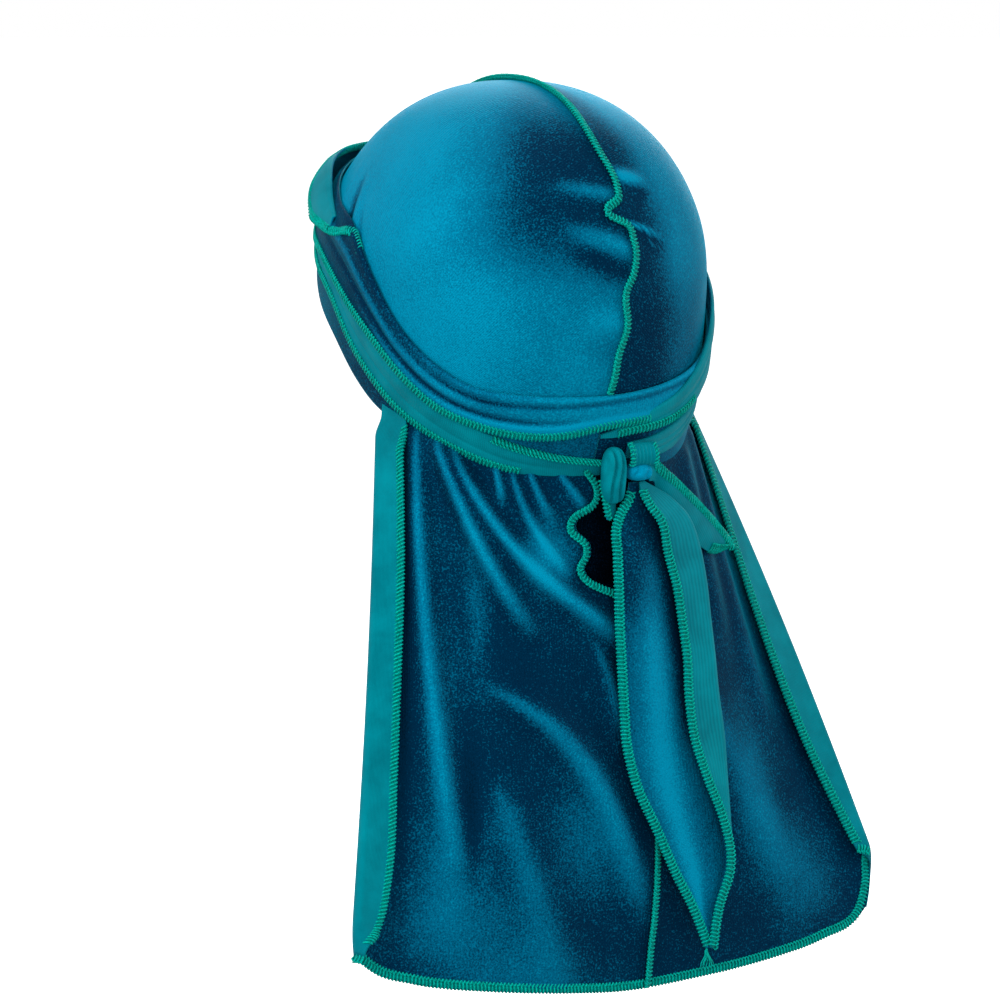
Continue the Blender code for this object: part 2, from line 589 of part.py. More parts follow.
def build_knot(collection):
    """The knot at the nape: its lobe, its bridge and its core."""
    over_tail = tail_base(0, 0.02).y + rear_stand_off() + CLOTH / 2 + EDGE_GAP
    height = -CROWN_DEPTH + EDGE_GAP * 3
    over_cap = form_at(180, -height - LOOP_HEIGHT / 4, CLOTH).y
    loop = Vector((KNOT_SIDE, max(over_tail, over_cap) + LOOP_DEPTH / 2, height))
    lobe("knot_loop", loop, (LOOP_WIDTH, LOOP_DEPTH, LOOP_HEIGHT), 0.35, MATTE, collection)
    bridge_top = loop.z + LOOP_HEIGHT / 2 + EDGE_GAP
    bridge_centre = bridge_top - BRIDGE_HEIGHT / 2 + CLOTH
    right = loop.x - LOOP_WIDTH / 2 - EDGE_GAP

    def bridge(across, down):
        turn = radians(BRIDGE_TOP_TURN + (BRIDGE_LOW_TURN - BRIDGE_TOP_TURN) * down)
        side = right - BRIDGE_WIDTH * across
        back = form_at(186, -bridge_top, layer_middle(2) + LAYER_GAP)
        pinch = 1 - BRIDGE_PINCH * sin(pi * across)
        return Vector((side, back.y + BRIDGE_REACH * cos(turn) * pinch,
                       bridge_centre + BRIDGE_HEIGHT / 2 * sin(turn)))

    cloth("knot_bridge", 6, 7, bridge, MATTE, collection)
    low = bridge(0.5, 1.0)
    core = Vector((right - CORE_WIDTH / 2, low.y - CORE_DEPTH / 10,
                   low.z - CLOTH / 2 - EDGE_GAP - CORE_HEIGHT / 2))
    lobe("knot_core", core, (CORE_WIDTH, CORE_DEPTH, CORE_HEIGHT), 0.15, VELVET, collection)
    return loop, core


def hanging(side, depth, stand_off):
    """Point stand_off outside the unfolded tail at a sideways place and a depth."""
    down = (depth - CROWN_DEPTH) / TAIL_LENGTH
    across = side / TAIL_HALF_WIDTH
    for _ in range(6):
        there = tail_base(across, max(down, 0.0))
        across += (side - there.x) / TAIL_HALF_WIDTH
        down += (depth + there.z) / TAIL_LENGTH
    there = tail_base(across, max(down, 0.0))
    normal = outward(tail_base, across, max(down, 0.0))
    return Vector((side, there.y + stand_off / max(normal.y, 0.5), -depth))


def build_ties(collection, loop, core):
    """The three free ends below the knot."""
    top = -core.z + CORE_HEIGHT / 2 + EDGE_GAP + CLOTH / 2

    def long_surface(across, down):
        left = LONG_TIE_WIDTH * read_table(LONG_TIE_ROWS, "left", down)
        right = LONG_TIE_WIDTH * read_table(LONG_TIE_ROWS, "right", down)
        ridge = LONG_TIE_RIDGE * sin(2 * pi * across) * ease(down / 0.2) * ease((0.7 - down) / 0.3)
        return hanging(left + (right - left) * across, top + LONG_TIE_LENGTH * down, TIE_STAND_OFF + ridge)

    def long_place(across, down):
        strip = LONG_TIE_WIDTH * read_table(LONG_TIE_ROWS, "turn_in", down)
        radius = LONG_TIE_TURN * ease(down / 0.08) * ease((1.02 - down) / 0.3) + CLOTH * 0.75
        stretch = float(np.interp(across, (0, TIE_FLAT_LANES, 1), (0, 1, 2)))
        return turned(long_surface, lambda share: share, -1, stretch, down, radius, strip, 1.0)

    cloth("long_tie_end", 14, 19, long_place, MATTE, collection)

    start = core + Vector((-CORE_WIDTH / 2 - EDGE_GAP, 0, CORE_HEIGHT / 4))

    def short_place(out, across):
        side = start.x + SHORT_TIE_LENGTH * read_table(SHORT_TIE_ROWS, "side", out)
        depth = -start.z + SHORT_TIE_LENGTH * read_table(SHORT_TIE_ROWS, "drop", out)
        width = SHORT_TIE_WIDTH * read_table(SHORT_TIE_ROWS, "width", out)
        lean = TIE_STAND_OFF * (1.1 - 0.45 * across * ease(out / 0.2))
        return hanging(side + 0.55 * width * across * ease(out / 0.3), depth + width * across, lean)

    cloth("short_tie_end", 12, 4, short_place, MATTE, collection)

    def rear_place(across, down):
        side = loop.x - LOOP_WIDTH / 4 + REAR_TIE_WIDTH * (1 - 0.35 * down) * across
        depth = -loop.z + CLOTH * 2 + REAR_TIE_LENGTH * down
        return hanging(side, depth, rear_stand_off())

    cloth("rear_tie_end", 4, 6, rear_place, MATTE, collection)


def main():
    """Clear the scene and build the durag."""
    for thing in list(bpy.data.objects):
        bpy.data.objects.remove(thing, do_unlink=True)
    collection = bpy.data.collections.new("durag")
    bpy.context.scene.collection.children.link(collection)
    build_crown(collection)
    build_wraps(collection)
    build_tail(collection)
    loop, core = build_knot(collection)
    build_ties(collection, loop, core)


main()
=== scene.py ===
"""The looks of a velvet durag in its worn form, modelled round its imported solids.

Metres, +Z up, front at -Y, tail at +Y, the wearer's left at +X, origin inside the cap's top.
Azimuths are degrees round the head: 0 front, 90 left, 180 nape, 270 right.
"""

from __future__ import annotations

import logging
from dataclasses import dataclass
from enum import Enum
from typing import Callable, NamedTuple, Sequence

import bmesh
import bpy
import numpy as np
from mathutils import Matrix, Vector


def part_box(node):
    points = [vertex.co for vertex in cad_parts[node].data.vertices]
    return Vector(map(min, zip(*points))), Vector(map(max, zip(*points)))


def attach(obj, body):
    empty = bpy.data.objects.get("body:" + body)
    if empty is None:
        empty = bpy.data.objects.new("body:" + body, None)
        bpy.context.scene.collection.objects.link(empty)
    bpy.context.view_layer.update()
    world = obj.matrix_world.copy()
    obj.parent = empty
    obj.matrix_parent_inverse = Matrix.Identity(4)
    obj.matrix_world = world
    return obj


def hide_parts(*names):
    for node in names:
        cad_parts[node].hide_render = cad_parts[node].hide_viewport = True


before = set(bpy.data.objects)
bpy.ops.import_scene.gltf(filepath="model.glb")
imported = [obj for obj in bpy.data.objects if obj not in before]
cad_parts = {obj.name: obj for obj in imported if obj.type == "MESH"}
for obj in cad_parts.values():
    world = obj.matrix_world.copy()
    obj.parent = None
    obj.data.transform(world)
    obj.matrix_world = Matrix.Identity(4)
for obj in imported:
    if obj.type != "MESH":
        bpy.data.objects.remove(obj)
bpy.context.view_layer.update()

LOG = logging.getLogger("durag")
Array = np.ndarray
Place = Callable[[Array, Array], Array]
# A sheet's tone with painted light and shade: painted highlights on folds and lit sides, painted shade in
# dips and hollows.
ToneAndPaintedLight = Callable[[Array, Array], Array]
Colour = tuple[float, float, float]


class Slot(Enum):
    """The record's material slots."""

    VELVET = "velvet"
    MATTE = "matte_reverse"
    THREAD = "thread"


# Shader expressions
class Value:
    """A shader socket that Python's operators work on."""

    def __init__(self, tree: "Shader", socket: bpy.types.NodeSocket) -> None:
        """Keep the socket and its tree."""
        self.tree = tree
        self.socket = socket

    def math(self, operation: str, *others: "Value | float") -> "Value":
        """Add a Math node.

        Args:
            operation: the Math node's operation.
            others: its further inputs.

        Returns:
            The node's output.
        """
        inputs = dict(enumerate((self, *others)))
        return self.tree.node("ShaderNodeMath", {"operation": operation}, inputs)

    def __add__(self, other: "Value | float") -> "Value":
        """Sum."""
        return self.math("ADD", other)

    __radd__ = __add__

    def __mul__(self, other: "Value | float") -> "Value":
        """Product."""
        return self.math("MULTIPLY", other)

    __rmul__ = __mul__

    def __sub__(self, other: "Value | float") -> "Value":
        """Difference."""
        return self.math("SUBTRACT", other)

    def __rsub__(self, other: float) -> "Value":
        """Difference from a number."""
        return (self * -1.0) + other

    def wave(self, pitch: float) -> "Value":
        """A wave from 0 to 1 that repeats every pitch."""
        return (self * (2 * np.pi / pitch)).math("SINE") * 0.5 + 0.5

    def between(self, low: float, high: float) -> "Value":
        """A smooth step.

        Args:
            low: where the step starts at 0.
            high: where it ends at 1.

        Returns:
            The step.
        """
        settings = {"interpolation_type": "SMOOTHSTEP"}
        inputs = {"Value": self, "From Min": low, "From Max": high}
        return self.tree.node("ShaderNodeMapRange", settings, inputs)


class Shader:
    """The node tree of one finish."""

    def __init__(self, name: str) -> None:
        """Start an empty material."""
        self.material = bpy.data.materials.new(name)
        self.material.use_nodes = True
        self.nodes = self.material.node_tree.nodes
        self.links = self.material.node_tree.links
        self.nodes.clear()

    def node(self, kind: str, settings: dict | None = None, inputs: dict | None = None,
             output: int | str = 0) -> Value:
        """Add any node that has an output.

        Args:
            kind: the node's type.
            settings: its properties, set first.
            inputs: values or links of its sockets, by name or number.
            output: the output wanted.

        Returns:
            That output.
        """
        made = self.nodes.new(kind)
        for key, value in (settings or {}).items():
            setattr(made, key, value)
        for key, value in (inputs or {}).items():
            if isinstance(value, Value):
                self.links.new(value.socket, made.inputs[key])
            else:
                made.inputs[key].default_value = value
        return Value(self, made.outputs[output])

    def place(self, source: str) -> Value:
        """Texture coordinates, either Object or UV."""
        return self.node("ShaderNodeTexCoord", output=source)

    def part(self, vector: Value, axis: str) -> Value:
        """One component, X, Y or Z, of a vector."""
        return self.node("ShaderNodeSeparateXYZ", inputs={0: vector}, output=axis)

    def painted(self, name: str) -> Value:
        """A number stored on the piece's vertices."""
        return self.node("ShaderNodeAttribute", {"attribute_name": name}, output="Fac")

    def noise(self, vector: Value, size: float, detail: float = 2.0) -> Value:
        """Noise whose grains are about size across.

        Args:
            vector: where the noise is read.
            size: its grain in metres.
            detail: how many finer octaves it has.

        Returns:
            A value near 0.5.
        """
        inputs = {"Vector": vector, "Scale": 1 / size, "Detail": detail, "Roughness": 0.6}
        return self.node("ShaderNodeTexNoise", inputs=inputs)

    def mix(self, factor: Value, low: Value | Colour, high: Value | Colour) -> Value:
        """Blend two colours.

        Args:
            factor: 0 for low, 1 for high.
            low: the first colour.
            high: the second colour.

        Returns:
            The blended colour.
        """
        ends = [end if isinstance(end, Value) else (*end, 1.0) for end in (low, high)]
        inputs = {0: factor, 6: ends[0], 7: ends[1]}
        return self.node("ShaderNodeMix", {"data_type": "RGBA"}, inputs, 2)

    def bump(self, height: Value, depth: float) -> Value:
        """A normal from a height of 0 to 1 that stands for depth metres."""
        return self.node("ShaderNodeBump", inputs={"Height": height, "Distance": depth})

    def surface(self, inputs: dict) -> bpy.types.Material:
        """Finish the material with a Principled shader.

        Args:
            inputs: the shader's sockets.

        Returns:
            The material.
        """
        shader = self.node("ShaderNodeBsdfPrincipled", inputs=inputs)
        end = self.nodes.new("ShaderNodeOutputMaterial")
        self.links.new(shader.socket, end.inputs["Surface"])
        return self.material


# Finishes
@dataclass(frozen=True)
class Velvet:
    """Velvet pile whose base colour steps from deep to bright by a painted tone: painted highlights on folds
    and lit sides, painted shade in dips and hollows, with random cloud and grain and painted glints.
    """

    name: str = "velvet_pile"
    # Base colours by tone: deep is the painted shade of hollows and valleys, bright the painted highlight of
    # folds and lit sides.
    deep: Colour = (0.0, 0.001, 0.004)
    dark: Colour = (0.0, 0.016, 0.045)
    middle: Colour = (0.0, 0.100, 0.190)
    bright: Colour = (0.0, 0.230, 0.380)
    roughness: float = 0.45
    metallic: float = 0.15
    specular: float = 0.04
    sheen: float = 0.45
    sheen_roughness: float = 0.30
    roughness_spread: float = 0.25
    sheen_tint: Colour = (0.0, 0.60, 0.85)
    grain: float = 0.0008
    grain_share: float = 0.75
    # Painted glints: small bright specks of noise added to the tone.
    painted_glint_size: float = 0.0008
    painted_glint_share: float = 0.09
    cloud: float = 0.030
    cloud_share: float = 0.40
    rib_pitch: float = 0.0011
    rib_depth: float = 0.00006
    grain_depth: float = 0.00022

    def material(self) -> bpy.types.Material:
        """Build the finish.

        Returns:
            The material.
        """
        tree = Shader(self.name)
        spot = tree.place("Object")
        grain = tree.noise(spot, self.grain, 1.0)
        cloud = tree.noise(spot, self.cloud, 3.0)
        # The stored tone holds painted highlights and painted shade; random cloud and grain and the painted
        # glints are added to it.
        tone_and_painted_light = tree.painted("tone_and_painted_light") + (cloud - 0.5) * self.cloud_share + (grain - 0.5) * self.grain_share
        tone_and_painted_light = tone_and_painted_light + tree.noise(spot, self.painted_glint_size, 0.0).between(0.55, 0.78) * self.painted_glint_share
        # Below zero the tone runs to the deep painted shade, towards one to the bright painted highlight.
        base = tree.mix(tone_and_painted_light.between(-0.8, 0.0), self.deep, self.dark)
        low = tree.mix(tone_and_painted_light.between(0.0, 0.45), base, self.middle)
        colour = tree.mix(tone_and_painted_light.between(0.35, 1.0), low, self.bright)
        ribs = tree.part(tree.place("UV"), "X").wave(self.rib_pitch)
        height = ribs * (self.rib_depth / self.grain_depth) + grain
        return tree.surface({
            "Base Color": colour,
            "Roughness": (grain - 0.5) * self.roughness_spread + self.roughness,
            "Metallic": self.metallic,
            "Specular IOR Level": self.specular,
            "Specular Tint": (*self.sheen_tint, 1.0),
            "Sheen Weight": self.sheen,
            "Sheen Roughness": self.sheen_roughness,
            "Sheen Tint": (*self.sheen_tint, 1.0),
            "Normal": tree.bump(height, self.grain_depth),
        })


@dataclass(frozen=True)
class Matte:
    """The knit reverse of the velvet: satin, with fine ribs."""

    name: str = "knit_reverse"
    low: Colour = (0.0, 0.115, 0.150)
    high: Colour = (0.0, 0.215, 0.265)
    roughness: float = 0.55
    specular: float = 0.12
    sheen: float = 0.12
    sheen_tint: Colour = (0.0, 0.80, 0.95)
    roughness_spread: float = 0.2
    rib_pitch: float = 0.0010
    rib_depth: float = 0.00004
    rib_share: float = 0.22
    rib_wander: float = 1.5
    fibre_share: float = 0.25
    cloud: float = 0.018

    def material(self) -> bpy.types.Material:
        """Build the finish.

        Returns:
            The material.
        """
        tree = Shader(self.name)
        spot = tree.place("Object")
        cloud = tree.noise(spot, self.cloud, 3.0)
        fibre = tree.noise(spot, self.rib_pitch / 2, 2.0)
        across = tree.part(tree.place("UV"), "X")
        ribs = (across + (cloud - 0.5) * (self.rib_pitch * self.rib_wander)).wave(self.rib_pitch)
        tone = (ribs - 0.5) * self.rib_share + cloud + (fibre - 0.5) * self.fibre_share
        colour = tree.mix(tone.between(0.1, 0.9), self.low, self.high)
        return tree.surface({
            "Base Color": colour,
            "Roughness": (fibre - 0.5) * self.roughness_spread + self.roughness,
            "Specular IOR Level": self.specular,
            "Specular Tint": (*self.sheen_tint, 1.0),
            "Sheen Weight": self.sheen,
            "Sheen Tint": (*self.sheen_tint, 1.0),
            "Normal": tree.bump(ribs + fibre * 0.5, self.rib_depth),
        })


@dataclass(frozen=True)
class Thread:
    """Overlocking thread."""

    name: str = "overlock_thread"
    low: Colour = (0.0, 0.150, 0.125)
    high: Colour = (0.0, 0.400, 0.330)
    roughness: float = 0.55
    specular: float = 0.15
    sheen_tint: Colour = (0.0, 0.90, 0.80)
    roughness_spread: float = 0.2
    fibre: float = 0.0007

    def material(self) -> bpy.types.Material:
        """Build the finish.

        Returns:
            The material.
        """
        tree = Shader(self.name)
        fibre = tree.noise(tree.place("Object"), self.fibre, 2.0)
        return tree.surface({
            "Base Color": tree.mix(fibre.between(0.25, 0.65), self.low, self.high),
            "Roughness": (fibre - 0.5) * self.roughness_spread + self.roughness,
            "Specular IOR Level": self.specular,
            "Specular Tint": (*self.sheen_tint, 1.0),
            "Normal": tree.bump(fibre, self.fibre / 8),
        })


VELVET = Velvet().material()
MATTE = Matte().material()
THREAD = Thread().material()
LIP = Thread(name="overlocked_edge", low=(0.0, 0.080, 0.075), high=(0.0, 0.200, 0.175)).material()


# Tables and curves
def ease(x: Array | float) -> Array:
    """Smooth step from 0 to 1."""
    x = np.clip(x, 0.0, 1.0)
    return x * x * (3 - 2 * x)


def read(rows: Sequence[NamedTuple], column: str, x: Array | float) -> Array:
    """Read a table's column with a smooth curve.

    Args:
        rows: the table, whose first column is x.
        column: the column's name.
        x: where to read it.

    Returns:
        The values at x, flat beyond the table's ends.
    """
    xs = np.array([row[0] for row in rows], float)
    ys = np.array([getattr(row, column) for row in rows], float)
    x = np.clip(np.asarray(x, float), xs[0], xs[-1])
    slopes = np.gradient(ys, xs)
    place = np.clip(np.searchsorted(xs, x) - 1, 0, len(xs) - 2)
    span = xs[place + 1] - xs[place]
    t = (x - xs[place]) / span
    start = (1 + 2 * t) * (1 - t) ** 2
    end = t * t * (3 - 2 * t)
    leave = t * (1 - t) ** 2
    arrive = t * t * (t - 1)
    bend = span * (leave * slopes[place] + arrive * slopes[place + 1])
    return start * ys[place] + end * ys[place + 1] + bend


def unit(vectors: Array) -> Array:
    """Vectors of length 1."""
    return vectors / np.maximum(np.linalg.norm(vectors, axis=-1, keepdims=True), 1e-12)


def stack(x: Array | float, y: Array | float, z: Array | float) -> Array:
    """Points from their three coordinates."""
    return np.stack(np.broadcast_arrays(x, y, z), axis=-1).astype(float)


# Cloth and overlocking
@dataclass
class Cloth:
    """A sheet of cloth laid on a surface.

    place takes across and down, each 0 to 1, and gives points. size is the sheet's real width and
    length, which scale its knit. Its tone function gives painted highlights and painted shade.
    """

    name: str
    columns: int
    rows: int
    place: Place
    size: tuple[float, float]
    face: bpy.types.Material = VELVET
    back: bpy.types.Material = MATTE
    wall: float = 0.0009
    tone_and_painted_light: ToneAndPaintedLight | None = None
    closed: bool = False

    def build(self) -> bpy.types.Object:
        """Build the grid, give it its wall and its finishes.

        Returns:
            The piece.
        """
        grid = bmesh.new()
        bmesh.ops.create_grid(grid, x_segments=self.columns, y_segments=self.rows, size=0.5)
        data = bpy.data.meshes.new(self.name)
        grid.to_mesh(data)
        grid.free()
        flat = np.zeros(len(data.vertices) * 3)
        data.vertices.foreach_get("co", flat)
        across, down = flat.reshape(-1, 3)[:, 0] + 0.5, flat.reshape(-1, 3)[:, 1] + 0.5
        self.paint(data, across, down)
        data.vertices.foreach_set("co", self.place(across, down).ravel())
        self.turn_outwards(data)
        data.shade_smooth()
        data.materials.append(self.face)
        data.materials.append(self.back)
        sheet = bpy.data.objects.new(self.name, data)
        bpy.context.scene.collection.objects.link(sheet)
        thick = sheet.modifiers.new("Wall", "SOLIDIFY")
        thick.thickness = self.wall
        thick.offset = 0.0
        thick.material_offset = 1
        thick.material_offset_rim = 1
        return sheet

    def paint(self, data: bpy.types.Mesh, across: Array, down: Array) -> None:
        """Store the cloth's own coordinates and its tone with painted light and shade.

        Args:
            data: the grid's mesh.
            across: each vertex's place across, 0 to 1.
            down: each vertex's place down, 0 to 1.
        """
        corners = np.zeros(len(data.loops), int)
        data.loops.foreach_get("vertex_index", corners)
        spots = np.stack([across * self.size[0], down * self.size[1]], axis=-1)
        data.uv_layers.new(name="cloth").data.foreach_set("uv", spots[corners].ravel())
        tone_and_painted_light = self.tone_and_painted_light(across, down) if self.tone_and_painted_light else np.full(len(across), 0.5)
        data.attributes.new("tone_and_painted_light", "FLOAT", "POINT").data.foreach_set("value", tone_and_painted_light.astype(np.float32))

    def turn_outwards(self, data: bpy.types.Mesh) -> None:
        """Merge a ring's ends and turn the faces away from the head.

        Args:
            data: the placed mesh.
        """
        sheet = bmesh.new()
        sheet.from_mesh(data)
        if self.closed:
            bmesh.ops.remove_doubles(sheet, verts=sheet.verts, dist=1e-6)
        sheet.normal_update()
        middle = Vector((0, 0, -HEAD.rise))
        facing = sum(f.normal.dot(f.calc_center_median() - middle) * f.calc_area() for f in sheet.faces)
        if facing < 0:
            bmesh.ops.reverse_faces(sheet, faces=sheet.faces)
        sheet.to_mesh(data)
        sheet.free()


@dataclass
class Rail:
    """A line along cloth, with the directions into the cloth and out of its face."""

    edge: Array
    inward: Array
    normal: Array


def rail_on(place: Place, across: Array, down: Array, into: tuple[float, float]) -> Rail:
    """Follow a line on a cloth's surface.

    Args:
        place: the cloth's surface.
        across: the line's places across.
        down: the line's places down.
        into: the small step, across and down, that leads into the cloth.

    Returns:
        The rail.
    """
    edge = place(across, down)
    inward = unit(place(across + into[0], down + into[1]) - edge)
    along = unit(np.gradient(edge, axis=0))
    normal = unit(np.cross(along, inward))
    return Rail(edge, unit(np.cross(normal, along)), normal)


@dataclass(frozen=True)
class Overlock:
    """An overlocked edge: a thick lip, a thread wound round it and a chain along its inner side."""

    width: float = 0.0040
    thickness: float = 0.0018
    pitch: float = 0.0017
    heavy: float = 0.00046
    light: float = 0.00042
    chain: float = 0.00062
    chain_rise: float = 0.4
    overhang: float = 0.0006
    slant: float = 0.34
    turn_points: int = 10
    lip_sides: int = 12

    def build(self, name: str, rail: Rail, centred: bool = False) -> bpy.types.Object:
        """Make the lip and its threads along a rail.

        Args:
            name: the piece's name.
            rail: the cloth's edge.
            centred: whether the lip straddles the line and doesn't lie inside it.

        Returns:
            The piece.
        """
        steps = np.linalg.norm(np.diff(rail.edge, axis=0), axis=1)
        reach = np.concatenate([[0], np.cumsum(steps)])
        turns = max(int(round(reach[-1] / self.pitch)), 2)
        inset = 0.0 if centred else self.width / 2 - self.overhang

        def along(count: int) -> tuple[Array, Array, Array, Array]:
            """Space points evenly along the rail.

            Args:
                count: how many.

            Returns:
                The centre line, the inward and outward directions, and the distance run.
            """
            s = np.linspace(0, reach[-1], count)
            lines = [np.stack([np.interp(s, reach, part[:, k]) for k in range(3)], axis=-1)
                     for part in (rail.edge, rail.inward, rail.normal)]
            inward, normal = unit(lines[1]), unit(lines[2])
            return lines[0] + inward * inset, inward, normal, s

        centre, inward, normal, s = along(turns * 2 + 1)
        near = np.minimum(s, s[-1] - s) / (self.width / 2)
        taper = np.sqrt(np.clip(1 - (1 - np.clip(near, 0, 1)) ** 2, 0, 1))[:, None]
        lip = self.lip(name, centre, inward * taper, normal * taper)
        count = turns * self.turn_points + 1
        centre, inward, normal, s = along(count)
        angle = 2 * np.pi * s / self.pitch
        slanted = np.gradient(centre, axis=0) * (self.turn_points * self.slant * np.cos(angle))[:, None]
        wound = centre + inward * (np.cos(angle) * (self.width - self.heavy) / 2)[:, None]
        wound = wound + normal * (np.sin(angle) * self.thickness / 2)[:, None] + slanted
        chain = centre + inward * (self.width / 2 - self.light + self.chain * np.cos(angle + 1))[:, None]
        over = self.thickness * self.chain_rise + self.chain / 2 * np.sin(angle + 1)
        chain = chain + normal * over[:, None]
        threads = tube_mesh(name + "_threads", [(wound, self.heavy), (chain, self.light)])
        return join(name, [lip, threads], [LIP, THREAD])

    def lip(self, name: str, centre: Array, across: Array, normal: Array) -> bpy.types.Mesh:
        """The rounded strip under the threads, closed at both ends.

        Args:
            name: the mesh's name.
            centre: its centre line.
            across: its half-width directions, tapered to nothing at the ends.
            normal: its thickness directions, tapered likewise.

        Returns:
            The mesh.
        """
        grid = bmesh.new()
        bmesh.ops.create_grid(grid, x_segments=len(centre) - 1, y_segments=self.lip_sides, size=0.5)
        wide, high = self.width / 2 - self.light, self.thickness / 2 - self.light / 2
        for corner in grid.verts:
            at = int(round((corner.co.x + 0.5) * (len(centre) - 1)))
            angle = (corner.co.y + 0.5) * 2 * np.pi
            corner.co = centre[at] + across[at] * wide * np.cos(angle) + normal[at] * high * np.sin(angle)
        bmesh.ops.remove_doubles(grid, verts=grid.verts, dist=1e-6)
        bmesh.ops.recalc_face_normals(grid, faces=grid.faces)
        data = bpy.data.meshes.new(name + "_lip")
        grid.to_mesh(data)
        grid.free()
        return data


def tube_mesh(name: str, lines: Sequence[tuple[Array, float]]) -> bpy.types.Mesh:
    """Four-sided threads along lines of points.

    Args:
        name: the mesh's name.
        lines: each thread's points and radius.

    Returns:
        One mesh of them all.
    """
    data = bpy.data.curves.new(name, "CURVE")
    data.dimensions = "3D"
    data.bevel_depth = 1.0
    data.bevel_resolution = 0
    data.use_fill_caps = True
    for points, radius in lines:
        line = data.splines.new("POLY")
        line.points.add(len(points) - 1)
        line.points.foreach_set("co", np.column_stack([points, np.ones(len(points))]).ravel())
        line.points.foreach_set("radius", np.full(len(points), radius))
    thing = bpy.data.objects.new(name, data)
    bpy.context.scene.collection.objects.link(thing)
    mesh = bpy.data.meshes.new_from_object(thing.evaluated_get(bpy.context.evaluated_depsgraph_get()))
    bpy.data.objects.remove(thing)
    return mesh


def join(name: str, meshes: Sequence[bpy.types.Mesh], finishes: Sequence[bpy.types.Material]
         ) -> bpy.types.Object:
    """One smooth piece of several meshes, each with its own finish.

    Args:
        name: the piece's name.
        meshes: its meshes.
        finishes: a finish for each.

    Returns:
        The piece.
    """
    whole = bmesh.new()
    for index, mesh in enumerate(meshes):
        mesh.polygons.foreach_set("material_index", np.full(len(mesh.polygons), index))
        whole.from_mesh(mesh)
    bmesh.ops.remove_doubles(whole, verts=whole.verts, dist=1e-7)
    data = bpy.data.meshes.new(name)
    whole.to_mesh(data)
    whole.free()
    data.shade_smooth()
    for finish in finishes:
        data.materials.append(finish)
    piece = bpy.data.objects.new(name, data)
    bpy.context.scene.collection.objects.link(piece)
    return piece


def wear(piece: bpy.types.Object, slot: Slot, *nodes: str) -> bpy.types.Object:
    """Let a piece ride with the object and stand for its solids.

    Args:
        piece: the piece.
        slot: the record's slot of its finish; not used.
        nodes: the solids that it stands for.

    Returns:
        The piece.
    """
    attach(piece, "root")
    if nodes:
        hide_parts(*nodes)
    LOG.info("%s: %d faces", piece.name, len(piece.data.polygons))
    return piece


# The head's form
@dataclass(frozen=True)
class HeadForm:
    """The rounded form that the cap and the ties lie on."""

    half_width: float = 0.0785
    half_depth: float = 0.0990
    rise: float = 0.0945
    fall: float = 0.120
    squareness: float = 2.2
    crown_depth: float = 0.167
    cloth: float = 0.0010
    layer_gap: float = 0.0004
    draw: float = 0.0035
    draw_left: float = 0.10
    draw_right: float = 0.34
    draw_ramp: float = 0.34
    draw_fade: float = 0.20

    def pressed(self, points: Array) -> Array:
        """Move points to the left where the ties draw the cap over.

        Args:
            points: the points.

        Returns:
            The moved points.
        """
        depth = -points[..., 2] / self.crown_depth
        start = np.where(points[..., 0] > 0, self.draw_left, self.draw_right)
        window = ease((depth - start) / self.draw_ramp) * ease((1 - depth) / self.draw_fade)
        share = np.minimum(np.abs(points[..., 0]) / self.half_width, 1.0)
        moved = points.copy()
        moved[..., 0] += self.draw * share * window
        return moved

    def along(self, direction: Array, off: Array | float) -> Array:
        """Points off the pressed form along directions from the head's centre."""
        return self.pressed(self.reach(direction, off))

    def reach(self, direction: Array, off: Array | float) -> Array:
        """Points off the unpressed form along directions from the head's centre.

        Args:
            direction: the directions.
            off: the distance outside the form.

        Returns:
            The points.
        """
        below = np.where(direction[..., 2] < 0, self.fall, self.rise)
        share = ((np.abs(direction[..., 0]) / (self.half_width + off)) ** self.squareness
                 + (np.abs(direction[..., 1]) / (self.half_depth + off)) ** self.squareness
                 + (np.abs(direction[..., 2]) / (below + off)) ** self.squareness)
        centre = np.array([0, 0, -self.rise])
        return centre + direction * (share ** (-1 / self.squareness))[..., None]

    def at(self, azimuth: Array, depth: Array, off: Array | float) -> Array:
        """Points off the form at azimuths and depths below the origin.

        Args:
            azimuth: degrees round the head.
            depth: distance below the origin.
            off: the distance outside the form.

        Returns:
            The points.
        """
        turn = np.radians(azimuth)
        across, ahead = np.sin(turn), -np.cos(turn)
        up = self.rise - depth
        below = np.where(up < 0, self.fall, self.rise) + off
        level = np.clip(1 - (np.abs(up) / below) ** self.squareness, 0, None) ** (1 / self.squareness)
        share = ((np.abs(across) / (self.half_width + off)) ** self.squareness
                 + (np.abs(ahead) / (self.half_depth + off)) ** self.squareness)
        radius = level * share ** (-1 / self.squareness)
        return self.pressed(stack(radius * across, radius * ahead, -depth))

    def layer(self, number: float) -> float:
        """Distance from the head to the middle of a layer of cloth."""
        return self.cloth / 2 + number * (self.cloth + self.layer_gap)


HEAD = HeadForm()


class Rim(NamedTuple):
    """Depth of the cap's rim, as a share of the crown's."""

    azimuth: float
    depth: float


RIM_ROWS = (
    Rim(0, 0.431), Rim(30, 0.455), Rim(49, 0.503), Rim(62, 0.587), Rim(78, 0.677),
    Rim(92, 0.781), Rim(104, 0.850), Rim(118, 0.886), Rim(128, 0.918), Rim(138, 0.957),
    Rim(150, 0.988), Rim(162, 0.997), Rim(180, 1.0),
)


def rim_depth(azimuth: Array | float) -> Array:
    """Depth of the cap's rim, the same on both sides."""
    turn = np.asarray(azimuth, float) % 360
    return HEAD.crown_depth * read(RIM_ROWS, "depth", np.minimum(turn, 360 - turn))


# Cap
class Step(NamedTuple):
    """Side step of the cap's seam, as a share of its sway, at a share of the cap's depth."""

    depth: float
    side: float


